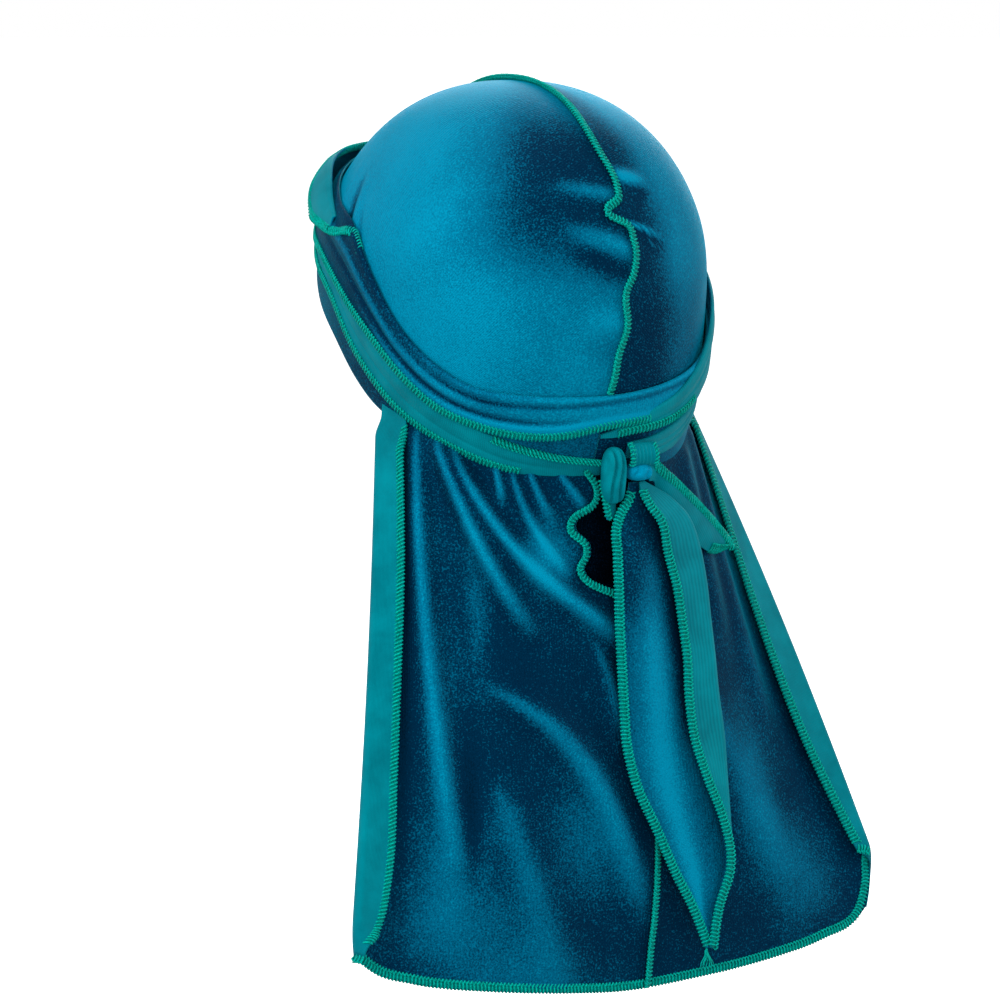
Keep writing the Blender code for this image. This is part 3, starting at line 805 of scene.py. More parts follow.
class Pucker(NamedTuple):
    """A ridge of cloth beside the seam; side and depth are shares of the head's. Its glow is the painted
    highlight on the ridge, and the painted shade in the dip beside it.
    """

    depth: float
    start: float
    end: float
    drop: float
    height: float
    width: float
    glow: float


class Pull(NamedTuple):
    """A soft fold of the cap between two places on the head. Its glow is a painted highlight, or painted
    shade where it is negative.
    """

    azimuth: float
    depth: float
    end_azimuth: float
    end_depth: float
    height: float
    width: float
    glow: float


@dataclass
class Crown:
    """The cap: two velvet panels and the overlocked seam between them."""

    sway: float = 0.009
    columns: int = 170
    rows: int = 84
    panel_front: float = 35.0
    panel_back: float = 145.0
    edge_gap: float = 0.0003
    seam_rise: float = 0.0008
    seam_lean: float = 0.35
    seam_points: int = 400
    step_fade: float = 0.45
    panel_flat: tuple[float, float] = (0.34, 0.15)
    panel_filled: float = 0.80
    pull_points: int = 40
    dip_offset: float = 2.2
    dip_depth: float = 0.35
    # Painted shade in the dip beside each pucker.
    dip_painted_shade: float = 0.7
    # Painted light and shade of the panels: the left lit on its side and shaded towards the back, beside the
    # seam and near the rim; the right shaded, with painted highlights at its far edge and top.
    side_painted_light: float = 0.82
    back_painted_shade: float = 0.18
    dark_painted_shade: float = 0.62
    rim_painted_shade: float = 0.75
    rim_shade_relief: float = 0.40
    right_painted_shade: float = 0.04
    right_painted_highlight: float = 0.58
    top_painted_highlight: float = 0.30

    seam_rows = (
        Step(0.0, 0.0), Step(0.174, 0.0), Step(0.210, -0.17), Step(0.257, -0.22), Step(0.287, 0.0),
        Step(0.302, 0.50), Step(0.320, 0.55), Step(0.345, -0.33), Step(0.383, -0.55), Step(0.443, -0.55),
        Step(0.473, -0.39), Step(0.509, 0.0), Step(0.611, 0.0), Step(0.677, 0.39), Step(0.743, 0.55),
        Step(0.784, 0.72), Step(1.0, 0.95),
    )
    puckers = (
        Pucker(0.277, 0.02, 0.46, -0.035, 0.0012, 0.0030, 0.60),
        Pucker(0.415, 0.02, 0.46, -0.070, 0.0014, 0.0044, 0.60),
        Pucker(0.600, 0.03, 0.30, -0.020, 0.0006, 0.0050, 0.20),
        Pucker(0.228, -0.02, -0.25, 0.018, 0.0014, 0.0030, 1.10),
        Pucker(0.345, -0.02, -0.24, 0.050, 0.0009, 0.0014, 1.00),
        Pucker(0.372, -0.04, -0.20, 0.050, 0.0006, 0.0010, 0.60),
    )
    pulls = (
        Pull(80, 0.24, 86, 0.47, -0.0010, 0.0026, -0.9), Pull(84, 0.24, 91, 0.47, 0.0008, 0.0024, 0.0),
        Pull(90, 0.32, 101, 0.53, -0.0006, 0.0016, -0.45), Pull(70, 0.20, 74, 0.40, 0.0006, 0.0030, 0.0),
    )

    def pulled(self, points: Array) -> tuple[Array, Array]:
        """Find the soft folds' height at points of the cap.

        Args:
            points: the points.

        Returns:
            Their rise and their glow, a painted highlight or painted shade.
        """
        rise, glow = np.zeros(points.shape[:-1]), np.zeros(points.shape[:-1])
        t = np.linspace(0, 1, self.pull_points)
        for row in self.pulls:
            azimuth = row.azimuth + (row.end_azimuth - row.azimuth) * t
            depth = row.depth + (row.end_depth - row.depth) * t
            line = HEAD.at(azimuth, depth * HEAD.crown_depth, 0.0)
            away = np.linalg.norm(points[..., None, :] - line, axis=-1)
            place = away.argmin(axis=-1) / (self.pull_points - 1)
            fold = np.exp(-(away.min(axis=-1) / row.width) ** 2) * np.sin(np.pi * place) ** 0.7
            rise += row.height * fold
            # Painted highlight along the fold, or painted shade where its glow is negative.
            glow += row.glow * fold
        return rise, glow

    def sideways(self, points: Array) -> Array:
        """How far the seam lies to the left at the points' depth."""
        side = self.sway * read(self.seam_rows, "side", -points[..., 2] / HEAD.crown_depth)
        return side * ease(points[..., 1] / (HEAD.half_depth / 4))

    def seam_point(self, share: Array, off: Array | float, shift: float = 0.0,
                   swaying: bool = True) -> Array:
        """Points on the seam from the front rim over the top to the nape.

        Args:
            share: 0 at the front rim, 1 at the nape.
            off: the distance outside the head.
            shift: a sideways shift, positive to the left.
            swaying: whether the seam's own side steps are added.

        Returns:
            The points.
        """
        start = np.arctan2(HEAD.rise - rim_depth(0.0), HEAD.half_depth)
        nape = HEAD.at(np.array(180.0), np.array(HEAD.crown_depth), 0.0)
        end = np.pi + np.arctan2(HEAD.crown_depth - HEAD.rise, nape[1])
        turn = start + (end - start) * np.asarray(share, float)
        straight = HEAD.along(stack(0.0 * turn, -np.cos(turn), np.sin(turn)), off)
        side = shift + (self.sideways(straight) if swaying else 0.0)
        return HEAD.along(unit(straight + stack(side, 0.0, HEAD.rise)), off)

    def ridges(self, points: Array) -> tuple[Array, Array]:
        """Find the height of the puckers and the soft folds at points of the cap.

        Args:
            points: the points.

        Returns:
            Their rise and their glow: painted highlights on the ridges, painted shade in their dips.
        """
        depth = -points[..., 2] / HEAD.crown_depth
        seam = self.sway * read(self.seam_rows, "side", depth)
        side = (points[..., 0] - seam) / HEAD.half_width
        rise, glow = np.zeros_like(depth), np.zeros_like(depth)
        for row in self.puckers:
            t = (side - row.start) / (row.end - row.start)
            fade = ease((t + 0.15) / 0.3) * ease((1 - t) / 0.7)
            middle = row.depth + row.drop * np.clip(t, 0, 1)
            off = (depth - middle) * HEAD.crown_depth / row.width
            ridge = fade * np.exp(-off ** 2) * (points[..., 1] > 0)
            dip = fade * np.exp(-(off - self.dip_offset) ** 2 / 1.6) * (points[..., 1] > 0)
            rise += row.height * (ridge - self.dip_depth * dip)
            # Painted highlight on the ridge, painted shade in the dip below it.
            glow += row.glow * (ridge - self.dip_painted_shade * dip)
        more, light = self.pulled(points)
        return rise + more, glow + light

    def directions(self, side: int, along: Array, across: Array) -> Array:
        """Directions from the head's centre to a panel's points.

        Args:
            side: 1 for the left panel, -1 for the right.
            along: 0 at the front, 1 at the nape.
            across: 0 at the seam, 1 at the rim.

        Returns:
            The directions.
        """
        centre = np.array([0, 0, HEAD.rise])
        shift = side * self.edge_gap / 2

        def rim_at(azimuth: Array | float) -> Array:
            """Direction to the rim."""
            turn = np.asarray(azimuth, float)
            return unit(HEAD.at(side * turn, rim_depth(turn), 0.0) + centre)

        def seam_at(share: Array | float) -> Array:
            """Direction to the seam without its side steps."""
            return unit(self.seam_point(share, 0.0, shift, swaying=False) + centre)

        last = seam_at(1.0)
        nape = (side * np.degrees(np.arctan2(last[0], -last[1]))) % 360
        edge = rim_at(self.panel_front + (self.panel_back - self.panel_front) * along)
        start = np.where((across > 0)[..., None], rim_at(self.panel_front * across), seam_at(0.0))
        end = np.where((across > 0)[..., None], rim_at(nape + (self.panel_back - nape) * across), last)
        u, v = along[..., None], across[..., None]
        blend = (1 - v) * seam_at(along) + v * edge + (1 - u) * start + u * end
        corners = (1 - u) * ((1 - v) * seam_at(0.0) + v * rim_at(self.panel_front))
        corners = corners + u * ((1 - v) * last + v * rim_at(self.panel_back))
        points = HEAD.reach(unit(blend - corners), 0.0)
        stepped = self.sideways(points) * (1 - ease(across / self.step_fade))
        return unit(points + stack(stepped, 0.0, HEAD.rise))

    def surface(self, side: int) -> Place:
        """Give one panel's surface.

        Args:
            side: 1 for the left panel, -1 for the right.

        Returns:
            Its surface.
        """
        def place(along: Array, across: Array) -> Array:
            """Find the panel's points with their puckers.

            Args:
                along: 0 at the front, 1 at the nape.
                across: 0 at the seam, 1 at the rim.

            Returns:
                The points.
            """
            direction = self.directions(side, along, across)
            points = HEAD.along(direction, HEAD.cloth / 2)
            return points + direction * self.ridges(points)[0][..., None]
        return place

    def tone_and_painted_light(self, side: int) -> ToneAndPaintedLight:
        """Give one panel's tone with its painted light and shade.

        Args:
            side: 1 for the left panel, -1 for the right.

        Returns:
            Its tone with painted light and shade.
        """
        def paint(along: Array, across: Array) -> Array:
            """Find the tone: painted light on the sides, painted shade towards the seam at the back and near
            the rim.

            Args:
                along: 0 at the front, 1 at the nape.
                across: 0 at the seam, 1 at the rim.

            Returns:
                The tones.
            """
            points = HEAD.along(self.directions(side, along, across), HEAD.cloth / 2)
            azimuth = np.degrees(np.arctan2(points[..., 0], -points[..., 1])) % 360
            depth = -points[..., 2] / HEAD.crown_depth
            if side > 0:
                # Left panel: painted light on its side, painted shade towards the front and the back, in a
                # dark zone beside the seam and near the rim.
                dark = ease((azimuth - 118) / 42) * ease((0.62 - depth) / 0.34) * ease((depth + 0.03) / 0.20)
                back = self.side_painted_light - self.back_painted_shade * ease((azimuth - 138) / 24) - self.dark_painted_shade * dark
                tone = np.where(points[..., 1] > 0, back, self.side_painted_light) * ease((azimuth + 10) / 60)
                low = ease((depth * HEAD.crown_depth - rim_depth(azimuth) + 0.030) / 0.012)
                tone = tone - low * (self.rim_painted_shade - self.rim_shade_relief * ease((azimuth - 108) / 14))
            else:
                # Right panel: painted shade, with painted highlights towards its far edge and at the top.
                far = ease((azimuth - 186) / 14) * (1 - 0.55 * ease((depth - 0.38) / 0.3))
                top = ease((0.16 - depth) / 0.14)
                tone = self.right_painted_shade + self.right_painted_highlight * far + self.top_painted_highlight * top
            # The puckers' and folds' painted highlights and painted shade are added.
            return np.clip(tone + self.ridges(points)[1], 0, 1.1)
        return paint

    def build(self) -> None:
        """Make the two panels and the seam."""
        for side, name in ((1, "crown_left"), (-1, "crown_right")):
            panel = Cloth(name + "_panel", self.columns, self.rows, self.surface(side), self.panel_flat,
                          tone_and_painted_light=self.tone_and_painted_light(side)).build()
            wear(panel, Slot.VELVET, name)
        share = np.linspace(0.0, 1.0, self.seam_points)
        rise = self.ridges(self.seam_point(share, HEAD.cloth))[0]
        points = self.seam_point(share, HEAD.cloth + self.seam_rise + np.maximum(rise, 0))
        front = HEAD.crown_depth * read(RIGHT_WRAP_ROWS, "top", 360)
        back = HEAD.crown_depth * read(UPPER_WRAP_ROWS, "top", 180)
        shown = -points[:, 2] < np.where(points[:, 1] < 0, front, back)
        points = points[shown]
        out = unit(points + np.array([0, 0, HEAD.rise]))
        side = unit(np.cross(np.gradient(points, axis=0), out))
        rail = Rail(points, unit(side + self.seam_lean * out), unit(out - self.seam_lean * side))
        wear(Overlock().build("crown_seam_overlock", rail, centred=True), Slot.THREAD, "crown_seam")


# Ties round the head
class Band(NamedTuple):
    """A tie's edges, as shares of the crown's depth."""

    azimuth: float
    top: float
    bottom: float


class Lift(NamedTuple):
    """How far a tie stands off the temple, as a share of its lift."""

    azimuth: float
    off: float


class Crease(NamedTuple):
    """A fold that runs along a tie: its place across at both ends, and its cross-section."""

    start: float
    end: float
    start_across: float
    end_across: float
    height: float
    width: float


class Tone(NamedTuple):
    """A tie's tone at an azimuth, with its painted light and shade."""

    azimuth: float
    tone_and_painted_light: float


UPPER_WRAP_ROWS = (
    Band(0, 0.180, 0.347), Band(24, 0.192, 0.359), Band(48, 0.240, 0.407), Band(72, 0.311, 0.467),
    Band(94, 0.389, 0.584), Band(107, 0.503, 0.665), Band(118, 0.612, 0.745), Band(130, 0.701, 0.823),
    Band(142, 0.760, 0.868), Band(153, 0.778, 0.892), Band(163, 0.784, 0.895), Band(176, 0.784, 0.871),
    Band(191, 0.766, 0.856), Band(209, 0.719, 0.832), Band(225, 0.647, 0.778), Band(244, 0.551, 0.695),
    Band(266, 0.431, 0.587), Band(288, 0.329, 0.485), Band(312, 0.251, 0.413), Band(336, 0.198, 0.365),
    Band(360, 0.180, 0.347),
)
LOWER_WRAP_ROWS = (
    Band(-24, 0.240, 0.347), Band(0, 0.240, 0.365), Band(30, 0.263, 0.389), Band(53, 0.329, 0.452),
    Band(62, 0.371, 0.491), Band(77, 0.443, 0.560), Band(92, 0.545, 0.684), Band(105, 0.635, 0.780),
    Band(116, 0.713, 0.852), Band(128, 0.796, 0.912), Band(138, 0.850, 0.953), Band(150, 0.904, 0.986),
    Band(160, 0.934, 0.994), Band(178, 0.964, 0.997),
)
RIGHT_WRAP_ROWS = (
    Band(175, 0.889, 0.896), Band(179, 0.876, 0.896), Band(184, 0.850, 0.888), Band(190, 0.823, 0.880),
    Band(199, 0.784, 0.858), Band(208, 0.725, 0.820), Band(216, 0.659, 0.778), Band(225, 0.593, 0.731),
    Band(245, 0.479, 0.635), Band(266, 0.383, 0.551), Band(288, 0.305, 0.473), Band(312, 0.240, 0.401),
    Band(336, 0.190, 0.353), Band(360, 0.174, 0.335), Band(384, 0.174, 0.329), Band(408, 0.210, 0.335),
    Band(420, 0.255, 0.350), Band(430, 0.312, 0.365), Band(437, 0.352, 0.377),
)
KNOT_FEED_ROWS = (
    Band(184, 0.915, 0.955), Band(191, 0.906, 0.958), Band(204, 0.868, 0.940), Band(212, 0.838, 0.898),
    Band(225, 0.731, 0.826), Band(244, 0.623, 0.731), Band(266, 0.515, 0.635), Band(288, 0.407, 0.539),
    Band(312, 0.323, 0.455), Band(330, 0.287, 0.407),
)
RIGHT_WRAP_LIFTS = (
    Lift(175, 0.0), Lift(350, 0.0), Lift(366, 0.0), Lift(384, 0.45), Lift(398, 1.0), Lift(410, 1.0),
    Lift(422, 0.55), Lift(431, 0.15), Lift(437, 0.0),
)
FLAT_LIFTS = (Lift(-360, 0.0), Lift(720, 0.0))


@dataclass
class Wrap:
    """A tie laid round the head."""

    name: str
    rows: Sequence[Band]
    layer: int
    face: bpy.types.Material
    creases: Sequence[Crease] = ()
    tones: Sequence[Tone] = (Tone(-360, 0.5), Tone(720, 0.5))
    lifts: Sequence[Lift] = FLAT_LIFTS
    lift: float = 0.0045
    camber: float = 0.0026
    dive: float = 0.0
    dive_end: float = 22.0
    roll: float = 0.09
    roll_depth: float = 0.0013
    crease_painted_light: float = 0.45
    columns: int = 420
    lanes: int = 26
    closed: bool = False

    def azimuth(self, share: Array) -> Array:
        """Azimuth at a share of the run."""
        return self.rows[0].azimuth + (self.rows[-1].azimuth - self.rows[0].azimuth) * share

    def share(self, azimuth: Array | float) -> Array:
        """Share of the run at an azimuth."""
        return (np.asarray(azimuth, float) - self.rows[0].azimuth) / (
            self.rows[-1].azimuth - self.rows[0].azimuth)

    def crease_rise(self, azimuth: Array, across: Array) -> tuple[Array, Array]:
        """Find the long folds' height at places on the tie.

        Args:
            azimuth: the places' azimuths.
            across: their shares across.

        Returns:
            Their rise, and the same as a tone for painted highlights on ridges and painted shade in creases.
        """
        rise, tone = np.zeros_like(azimuth), np.zeros_like(azimuth)
        wide = HEAD.crown_depth * (read(self.rows, "bottom", azimuth) - read(self.rows, "top", azimuth))
        for fold in self.creases:
            t = (azimuth - fold.start) / (fold.end - fold.start)
            middle = fold.start_across + (fold.end_across - fold.start_across) * np.clip(t, 0, 1)
            fade = ease(t / 0.2) * ease((1 - t) / 0.2)
            ridge = fade * np.exp(-((across - middle) * wide / fold.width) ** 2)
            rise += fold.height * ridge
            tone += np.sign(fold.height) * ridge
        return rise, tone

    def place(self, share: Array, across: Array) -> Array:
        """Find points of the tie.

        Args:
            share: places along its run, 0 to 1.
            across: places across from its top edge, 0 to 1.

        Returns:
            The points.
        """
        azimuth = self.azimuth(share)
        top = HEAD.crown_depth * read(self.rows, "top", azimuth)
        bottom = HEAD.crown_depth * read(self.rows, "bottom", azimuth)
        rise = self.crease_rise(azimuth, across)[0]
        loose = np.clip(read(self.lifts, "off", azimuth), 0, None)
        rise = rise + loose * (self.lift + self.camber * np.sin(np.pi * across))
        rise = rise - self.dive * (1 - ease((azimuth - self.rows[0].azimuth) / self.dive_end))
        rise = rise - self.roll_depth * np.clip(1 - across / self.roll, 0, 1) ** 2
        return HEAD.at(azimuth, top + (bottom - top) * across, HEAD.layer(self.layer) + rise)

    def tone_and_painted_light(self, share: Array, across: Array) -> Array:
        """Find the tie's tone with its painted light and shade.

        Args:
            share: places along its run, 0 to 1.
            across: places across from its top edge, 0 to 1.

        Returns:
            The tones.
        """
        azimuth = self.azimuth(share)
        # Painted highlights on raised creases, painted shade in sunken ones.
        creased = self.crease_painted_light * self.crease_rise(azimuth, across)[1]
        return np.clip(read(self.tones, "tone_and_painted_light", azimuth) + creased, 0, 1.1)

    def build(self) -> bpy.types.Object:
        """Make the tie.

        Returns:
            Its cloth.
        """
        middle = self.place(np.linspace(0, 1, 200), np.full(200, 0.5))
        length = float(np.linalg.norm(np.diff(middle, axis=0), axis=1).sum())
        wide = HEAD.crown_depth * float(np.mean([row.bottom - row.top for row in self.rows]))
        back = MATTE if self.face is VELVET else VELVET
        cloth = Cloth(self.name + "_cloth", self.columns, self.lanes, self.place, (length, wide),
                      face=self.face, back=back, tone_and_painted_light=self.tone_and_painted_light, closed=self.closed).build()
        wear(cloth, Slot.VELVET if self.face is VELVET else Slot.MATTE, self.name)
        return cloth

    def edge(self, bottom: bool, start: float, end: float) -> Rail:
        """The rail of one edge between two azimuths.

        Args:
            bottom: whether it is the lower edge.
            start: the first azimuth.
            end: the last azimuth.

        Returns:
            The rail.
        """
        share = self.share(np.linspace(start, end, 240))
        across = np.full(240, 1.0 if bottom else 0.0)
        return rail_on(self.place, share, across, (0.0, -0.04 if bottom else 0.04))

    def line(self, azimuths: Sequence[float], acrosses: Sequence[float]) -> Rail:
        """A rail through places on the tie.

        Args:
            azimuths: the places' azimuths.
            acrosses: the places' shares across.

        Returns:
            The rail, smoothed at its corners.
        """
        t = np.linspace(0, 1, 241)
        knots = np.linspace(0, 1, len(azimuths))
        smooth = np.hanning(49) / np.hanning(49).sum()
        pairs = [np.interp(t, knots, values) for values in (self.share(azimuths), acrosses)]
        pairs = [np.convolve(np.pad(values, 24, "edge"), smooth, "valid") for values in pairs]
        edge = self.place(*pairs)
        out = unit(edge - np.array([0, 0, -HEAD.rise]))
        inward = unit(np.cross(out, np.gradient(edge, axis=0)))
        return Rail(edge, -inward, out)


@dataclass
class Wraps:
    """All the ties round the head, with their overlocked edges."""

    def build(self) -> None:
        """Make the ties from the innermost out."""
        upper = Wrap(
            "upper_wrap", UPPER_WRAP_ROWS, 2, VELVET, closed=True, columns=520,
            creases=(
                Crease(55, 150, 0.30, 0.42, 0.0008, 0.0022), Crease(60, 175, 0.52, 0.62, -0.0008, 0.0016),
                Crease(95, 205, 0.72, 0.80, 0.0006, 0.0016), Crease(120, 230, 0.28, 0.15, -0.0005, 0.0014),
                Crease(190, 228, 0.70, 0.90, -0.0007, 0.0016),
            ),
            # Painted light and shade along the tie: dark over the left side, brightest towards the right of
            # the nape.
            tones=(Tone(0, 0.30), Tone(60, 0.02), Tone(100, 0.02), Tone(125, 0.20), Tone(150, 0.60),
                   Tone(185, 0.78), Tone(205, 0.86), Tone(222, 1.1), Tone(250, 0.5), Tone(360, 0.45)),
        )
        lower = Wrap(
            "lower_wrap", LOWER_WRAP_ROWS, 1, MATTE, columns=300,
            creases=(
                Crease(55, 172, 0.50, 0.62, -0.0004, 0.0009), Crease(60, 178, 0.30, 0.40, 0.0003, 0.0020),
            ),
        )
        feed = Wrap(
            "knot_feed", KNOT_FEED_ROWS, 1, MATTE, columns=220,
            creases=(
                Crease(184, 260, 0.38, 0.45, -0.0005, 0.0008), Crease(186, 250, 0.68, 0.70, -0.0005, 0.0008),
            ),
        )
        right = Wrap(
            "right_wrap", RIGHT_WRAP_ROWS, 3, MATTE, columns=420, lifts=RIGHT_WRAP_LIFTS, dive=0.0030,
            creases=(
                Crease(176, 300, 0.60, 0.45, -0.0006, 0.0009), Crease(180, 300, 0.30, 0.25, 0.0005, 0.0016),
            ),
        )
        for wrap in (upper, lower, feed, right):
            wrap.build()
        stitch = Overlock()
        start = upper.line((76, 82, 87, 92, 99), (0.34, 0.24, 0.10, 0.0, 0.0))
        front = right.line((372, 404, 414, 420, 428, 437), (0.0, 0.0, 0.45, 0.95, 1.0, 1.0))
        runs = (
            ("upper_wrap_lower_overlock", upper.edge(True, 48, 189)),
            ("upper_wrap_top_overlock", start),
            ("lower_wrap_lower_overlock", lower.edge(True, 44, 153)),
            ("lower_wrap_top_overlock", lower.edge(False, 146, 178)),
            ("right_wrap_lower_overlock", right.edge(True, 180, 208)),
            ("right_wrap_front_overlock", front),
        )
        for name, rail in runs:
            wear(stitch.build(name, rail), Slot.THREAD)


# Tail
class SeamStep(NamedTuple):
    """Where the tail's seam runs, 1 at the left edge and -1 at the right."""

    down: float
    across: float


class Fold(NamedTuple):
    """A fold's line on the tail, its height, its widths at both ends and its glow, the painted highlight on
    its ridge.
    """

    start_across: float
    start_down: float
    bend_across: float
    bend_down: float
    end_across: float
    end_down: float
    height: float
    width: float
    glow: float


class Hem(NamedTuple):
    """The hem's rise above its lowest level, as a share of the corner's."""

    across: float
    rise: float


class Patch(NamedTuple):
    """A soft patch of painted light, or of painted shade where its tone is negative: its middle, its radii
    and its tone.
    """

    across: float
    down: float
    wide: float
    long: float
    tone: float


class Strip(NamedTuple):
    """The turned-over strips' widths, as shares of the widest."""

    down: float
    left: float
    right: float


@dataclass
class Tail:
    """The tail: two halves with turned-over edges, overlocked all round, and a wavy seam."""

    length: float = 0.2230
    half_width: float = 0.133
    spread_left: float = 74.0
    spread_right: float = 78.5
    slant: float = 0.027
    sway: float = -0.0025
    corner_rise: float = 0.028
    corner_forward: float = 0.013
    left_hollow: float = 0.001
    right_bulge: float = 0.0035
    curl_radius: float = 0.0026
    curl_strip: float = 0.020
    tuck: float = 0.0045
    tuck_off: float = -0.0009
    seam_gap: float = 0.0002
    corner_round_left: float = 0.01
    corner_round_right: float = 0.055
    corner_start: float = 0.93
    tight_radius: float = 0.0009
    seam_stand: float = 0.0016
    seam_lean: float = 0.25
    seam_width: float = 0.0034
    # Painted highlights on each half's folds, and painted shade in the recess by the seam.
    left_painted_highlight: float = 0.80
    right_painted_highlight: float = 0.45
    recess_painted_shade: float = 0.75
    fold_height: float = 0.006
    fold_width: float = 0.010
    recess_depth: float = 0.009
    recess_edge: float = 0.006
    flat_lanes: float = 0.74
    turn_lanes: float = 0.12
    columns: int = 150
    rows: int = 190

    corner_meets: float = 0.925
    corner_path = (0.0, 0.80, 0.86, 0.92, 1.0)
    corner_across = (0.0, 0.73, 0.74, 0.77, 1.0)
    corner_row = (1.0, 1.0, 0.980, 0.960, 0.925)
    seam_rows = (
        SeamStep(0.0, 0.11), SeamStep(0.008, 0.104), SeamStep(0.039, 0.066), SeamStep(0.075, 0.083),
        SeamStep(0.098, 0.161), SeamStep(0.122, 0.177), SeamStep(0.149, 0.122), SeamStep(0.168, 0.120),
        SeamStep(0.199, 0.149), SeamStep(0.222, 0.113), SeamStep(0.250, 0.0), SeamStep(0.28, -0.03),
        SeamStep(0.40, -0.03), SeamStep(0.55, -0.08), SeamStep(0.70, -0.10), SeamStep(0.86, -0.06),
        SeamStep(1.0, -0.02),
    )
    folds = (
        Fold(0.80, 0.00, 0.80, 0.34, 0.67, 0.76, 0.80, 0.75, 0.75),
        Fold(0.72, 0.00, 0.60, 0.14, 0.36, 0.31, 1.00, 0.65, 0.85),
        Fold(0.66, 0.00, 0.44, 0.18, -0.01, 0.33, 1.00, 0.60, 0.95),
        Fold(0.47, 0.00, 0.45, 0.04, 0.44, 0.08, 0.55, 0.35, 0.85),
        Fold(0.40, 0.00, 0.37, 0.11, 0.20, 0.20, 0.60, 0.40, 0.75),
        Fold(0.33, 0.00, 0.31, 0.05, 0.25, 0.10, 0.50, 0.35, 0.75),
        Fold(0.22, 0.00, 0.18, 0.04, 0.11, 0.08, 0.45, 0.35, 0.75),
        Fold(0.51, 0.44, 0.12, 0.48, -0.02, 0.86, 0.90, 1.00, 0.65),
        Fold(0.10, 0.34, 0.04, 0.42, 0.01, 0.52, 0.40, 0.60, 0.45),
        Fold(0.50, 0.62, 0.38, 0.80, 0.30, 1.00, 0.55, 1.60, 0.40),
        Fold(-0.30, 0.42, -0.48, 0.60, -0.66, 0.90, 0.70, 1.80, 0.50),
        Fold(-0.48, 0.00, -0.52, 0.20, -0.56, 0.40, 0.50, 0.90, 0.30),
        Fold(-0.66, 0.00, -0.68, 0.30, -0.74, 0.60, 0.45, 0.80, 0.30),
    )
    hem_rows = (
        Hem(-1.0, 0.92), Hem(-0.91, 0.50), Hem(-0.75, 0.28), Hem(-0.50, 0.12), Hem(-0.20, 0.03),
        Hem(0.05, 0.0), Hem(0.32, 0.12), Hem(0.57, 0.28), Hem(0.81, 0.51), Hem(0.93, 0.72), Hem(1.0, 1.0),
    )
    strip_rows = (
        Strip(0.0, 0.78, 0.70), Strip(0.25, 0.78, 1.0), Strip(0.50, 0.72, 1.0), Strip(0.65, 0.72, 0.86),
        Strip(0.80, 0.74, 0.58), Strip(0.90, 0.60, 0.36), Strip(1.0, 0.20, 0.12),
    )

    # Patches of painted light, and of painted shade where the tone is negative.
    patches = (
        Patch(0.70, 0.55, 0.07, 0.24, 0.16), Patch(0.66, 0.86, 0.20, 0.14, 0.36),
        Patch(0.18, 0.72, 0.12, 0.10, 0.28), Patch(0.42, 0.97, 0.20, 0.07, 0.22),
        Patch(0.56, 0.30, 0.05, 0.12, 0.25), Patch(0.86, 0.40, 0.03, 0.40, -0.30),
        Patch(0.60, 0.68, 0.035, 0.12, -0.35), Patch(0.40, 0.42, 0.12, 0.08, -0.15),
        Patch(0.27, 0.17, 0.09, 0.06, 0.55), Patch(-0.58, 0.68, 0.12, 0.16, 0.36),
        Patch(-0.74, 0.88, 0.12, 0.09, 0.30), Patch(-0.28, 0.42, 0.08, 0.16, 0.20),
    )

    def seam_across(self, down: Array) -> Array:
        """Where the seam runs."""
        return read(self.seam_rows, "across", down)

    def base(self, across: Array, down: Array) -> Array:
        """Find points on the tail as it would hang without folds.

        Args:
            across: 1 at the left edge, -1 at the right.
            down: 0 at the top, 1 at the hem.

        Returns:
            The points.
        """
        spread = np.where(across > 0, self.spread_left, self.spread_right)
        azimuth = 180 - spread * across
        top = HEAD.at(azimuth, rim_depth(azimuth) - self.tuck, self.tuck_off)
        nape = HEAD.at(np.array(180.0), np.array(HEAD.crown_depth), HEAD.cloth / 2)
        hem = stack(
            self.half_width * across + self.sway,
            nape[1] + self.slant - self.corner_forward * across ** 2,
            -HEAD.crown_depth - self.length + self.corner_rise * read(self.hem_rows, "rise", across),
        )
        bow = np.where(across > 0, self.left_hollow, self.right_bulge)
        bow = bow * np.sin(np.pi * down) * np.abs(across) ** 3
        return top + (hem - top) * down[..., None] - stack(bow, 0.0, 0.0)

    def outward(self, surface: Place, across: Array, down: Array) -> Array:
        """Find unit vectors out of a surface, away from the head.

        Args:
            surface: the surface.
            across: places across.
            down: places down.

        Returns:
            The vectors.
        """
        step = 0.004
        left = surface(across + step, down) - surface(across - step, down)
        fall = surface(across, np.minimum(down + step, 1)) - surface(across, np.maximum(down - step, 0))
        normal = unit(np.cross(left, fall))
        return normal * np.where(normal[..., 1] > 0, 1.0, -1.0)[..., None]

    def ridges(self, across: Array, down: Array) -> tuple[Array, Array]:
        """Find the folds' height at places on the tail.

        Args:
            across: 1 at the left edge, -1 at the right.
            down: 0 at the top, 1 at the hem.

        Returns:
            Their rise and their glow, a painted highlight along each fold's ridge.
        """
        spots = np.stack([across * self.half_width, down * self.length], axis=-1)
        rise, glow = np.zeros(across.shape), np.zeros(across.shape)
        t = np.linspace(0, 1, 60)[:, None]
        scale = np.array([self.half_width, self.length])
        for row in self.folds:
            start, bend, end = (np.array(pair) * scale for pair in (row[0:2], row[2:4], row[4:6]))
            line = (1 - t) ** 2 * start + 2 * t * (1 - t) * bend + t ** 2 * end
            away = np.linalg.norm(spots[..., None, :] - line, axis=-1)
            nearest = away.argmin(axis=-1)
            place = nearest / (len(line) - 1)
            distance = away.min(axis=-1)
            fade = 0.35 + 0.65 * (1 - np.abs(2 * place - 1) ** 4)
            width = row.width * self.fold_width
            rise += row.height * self.fold_height * fade * np.exp(-(distance / width) ** 2)
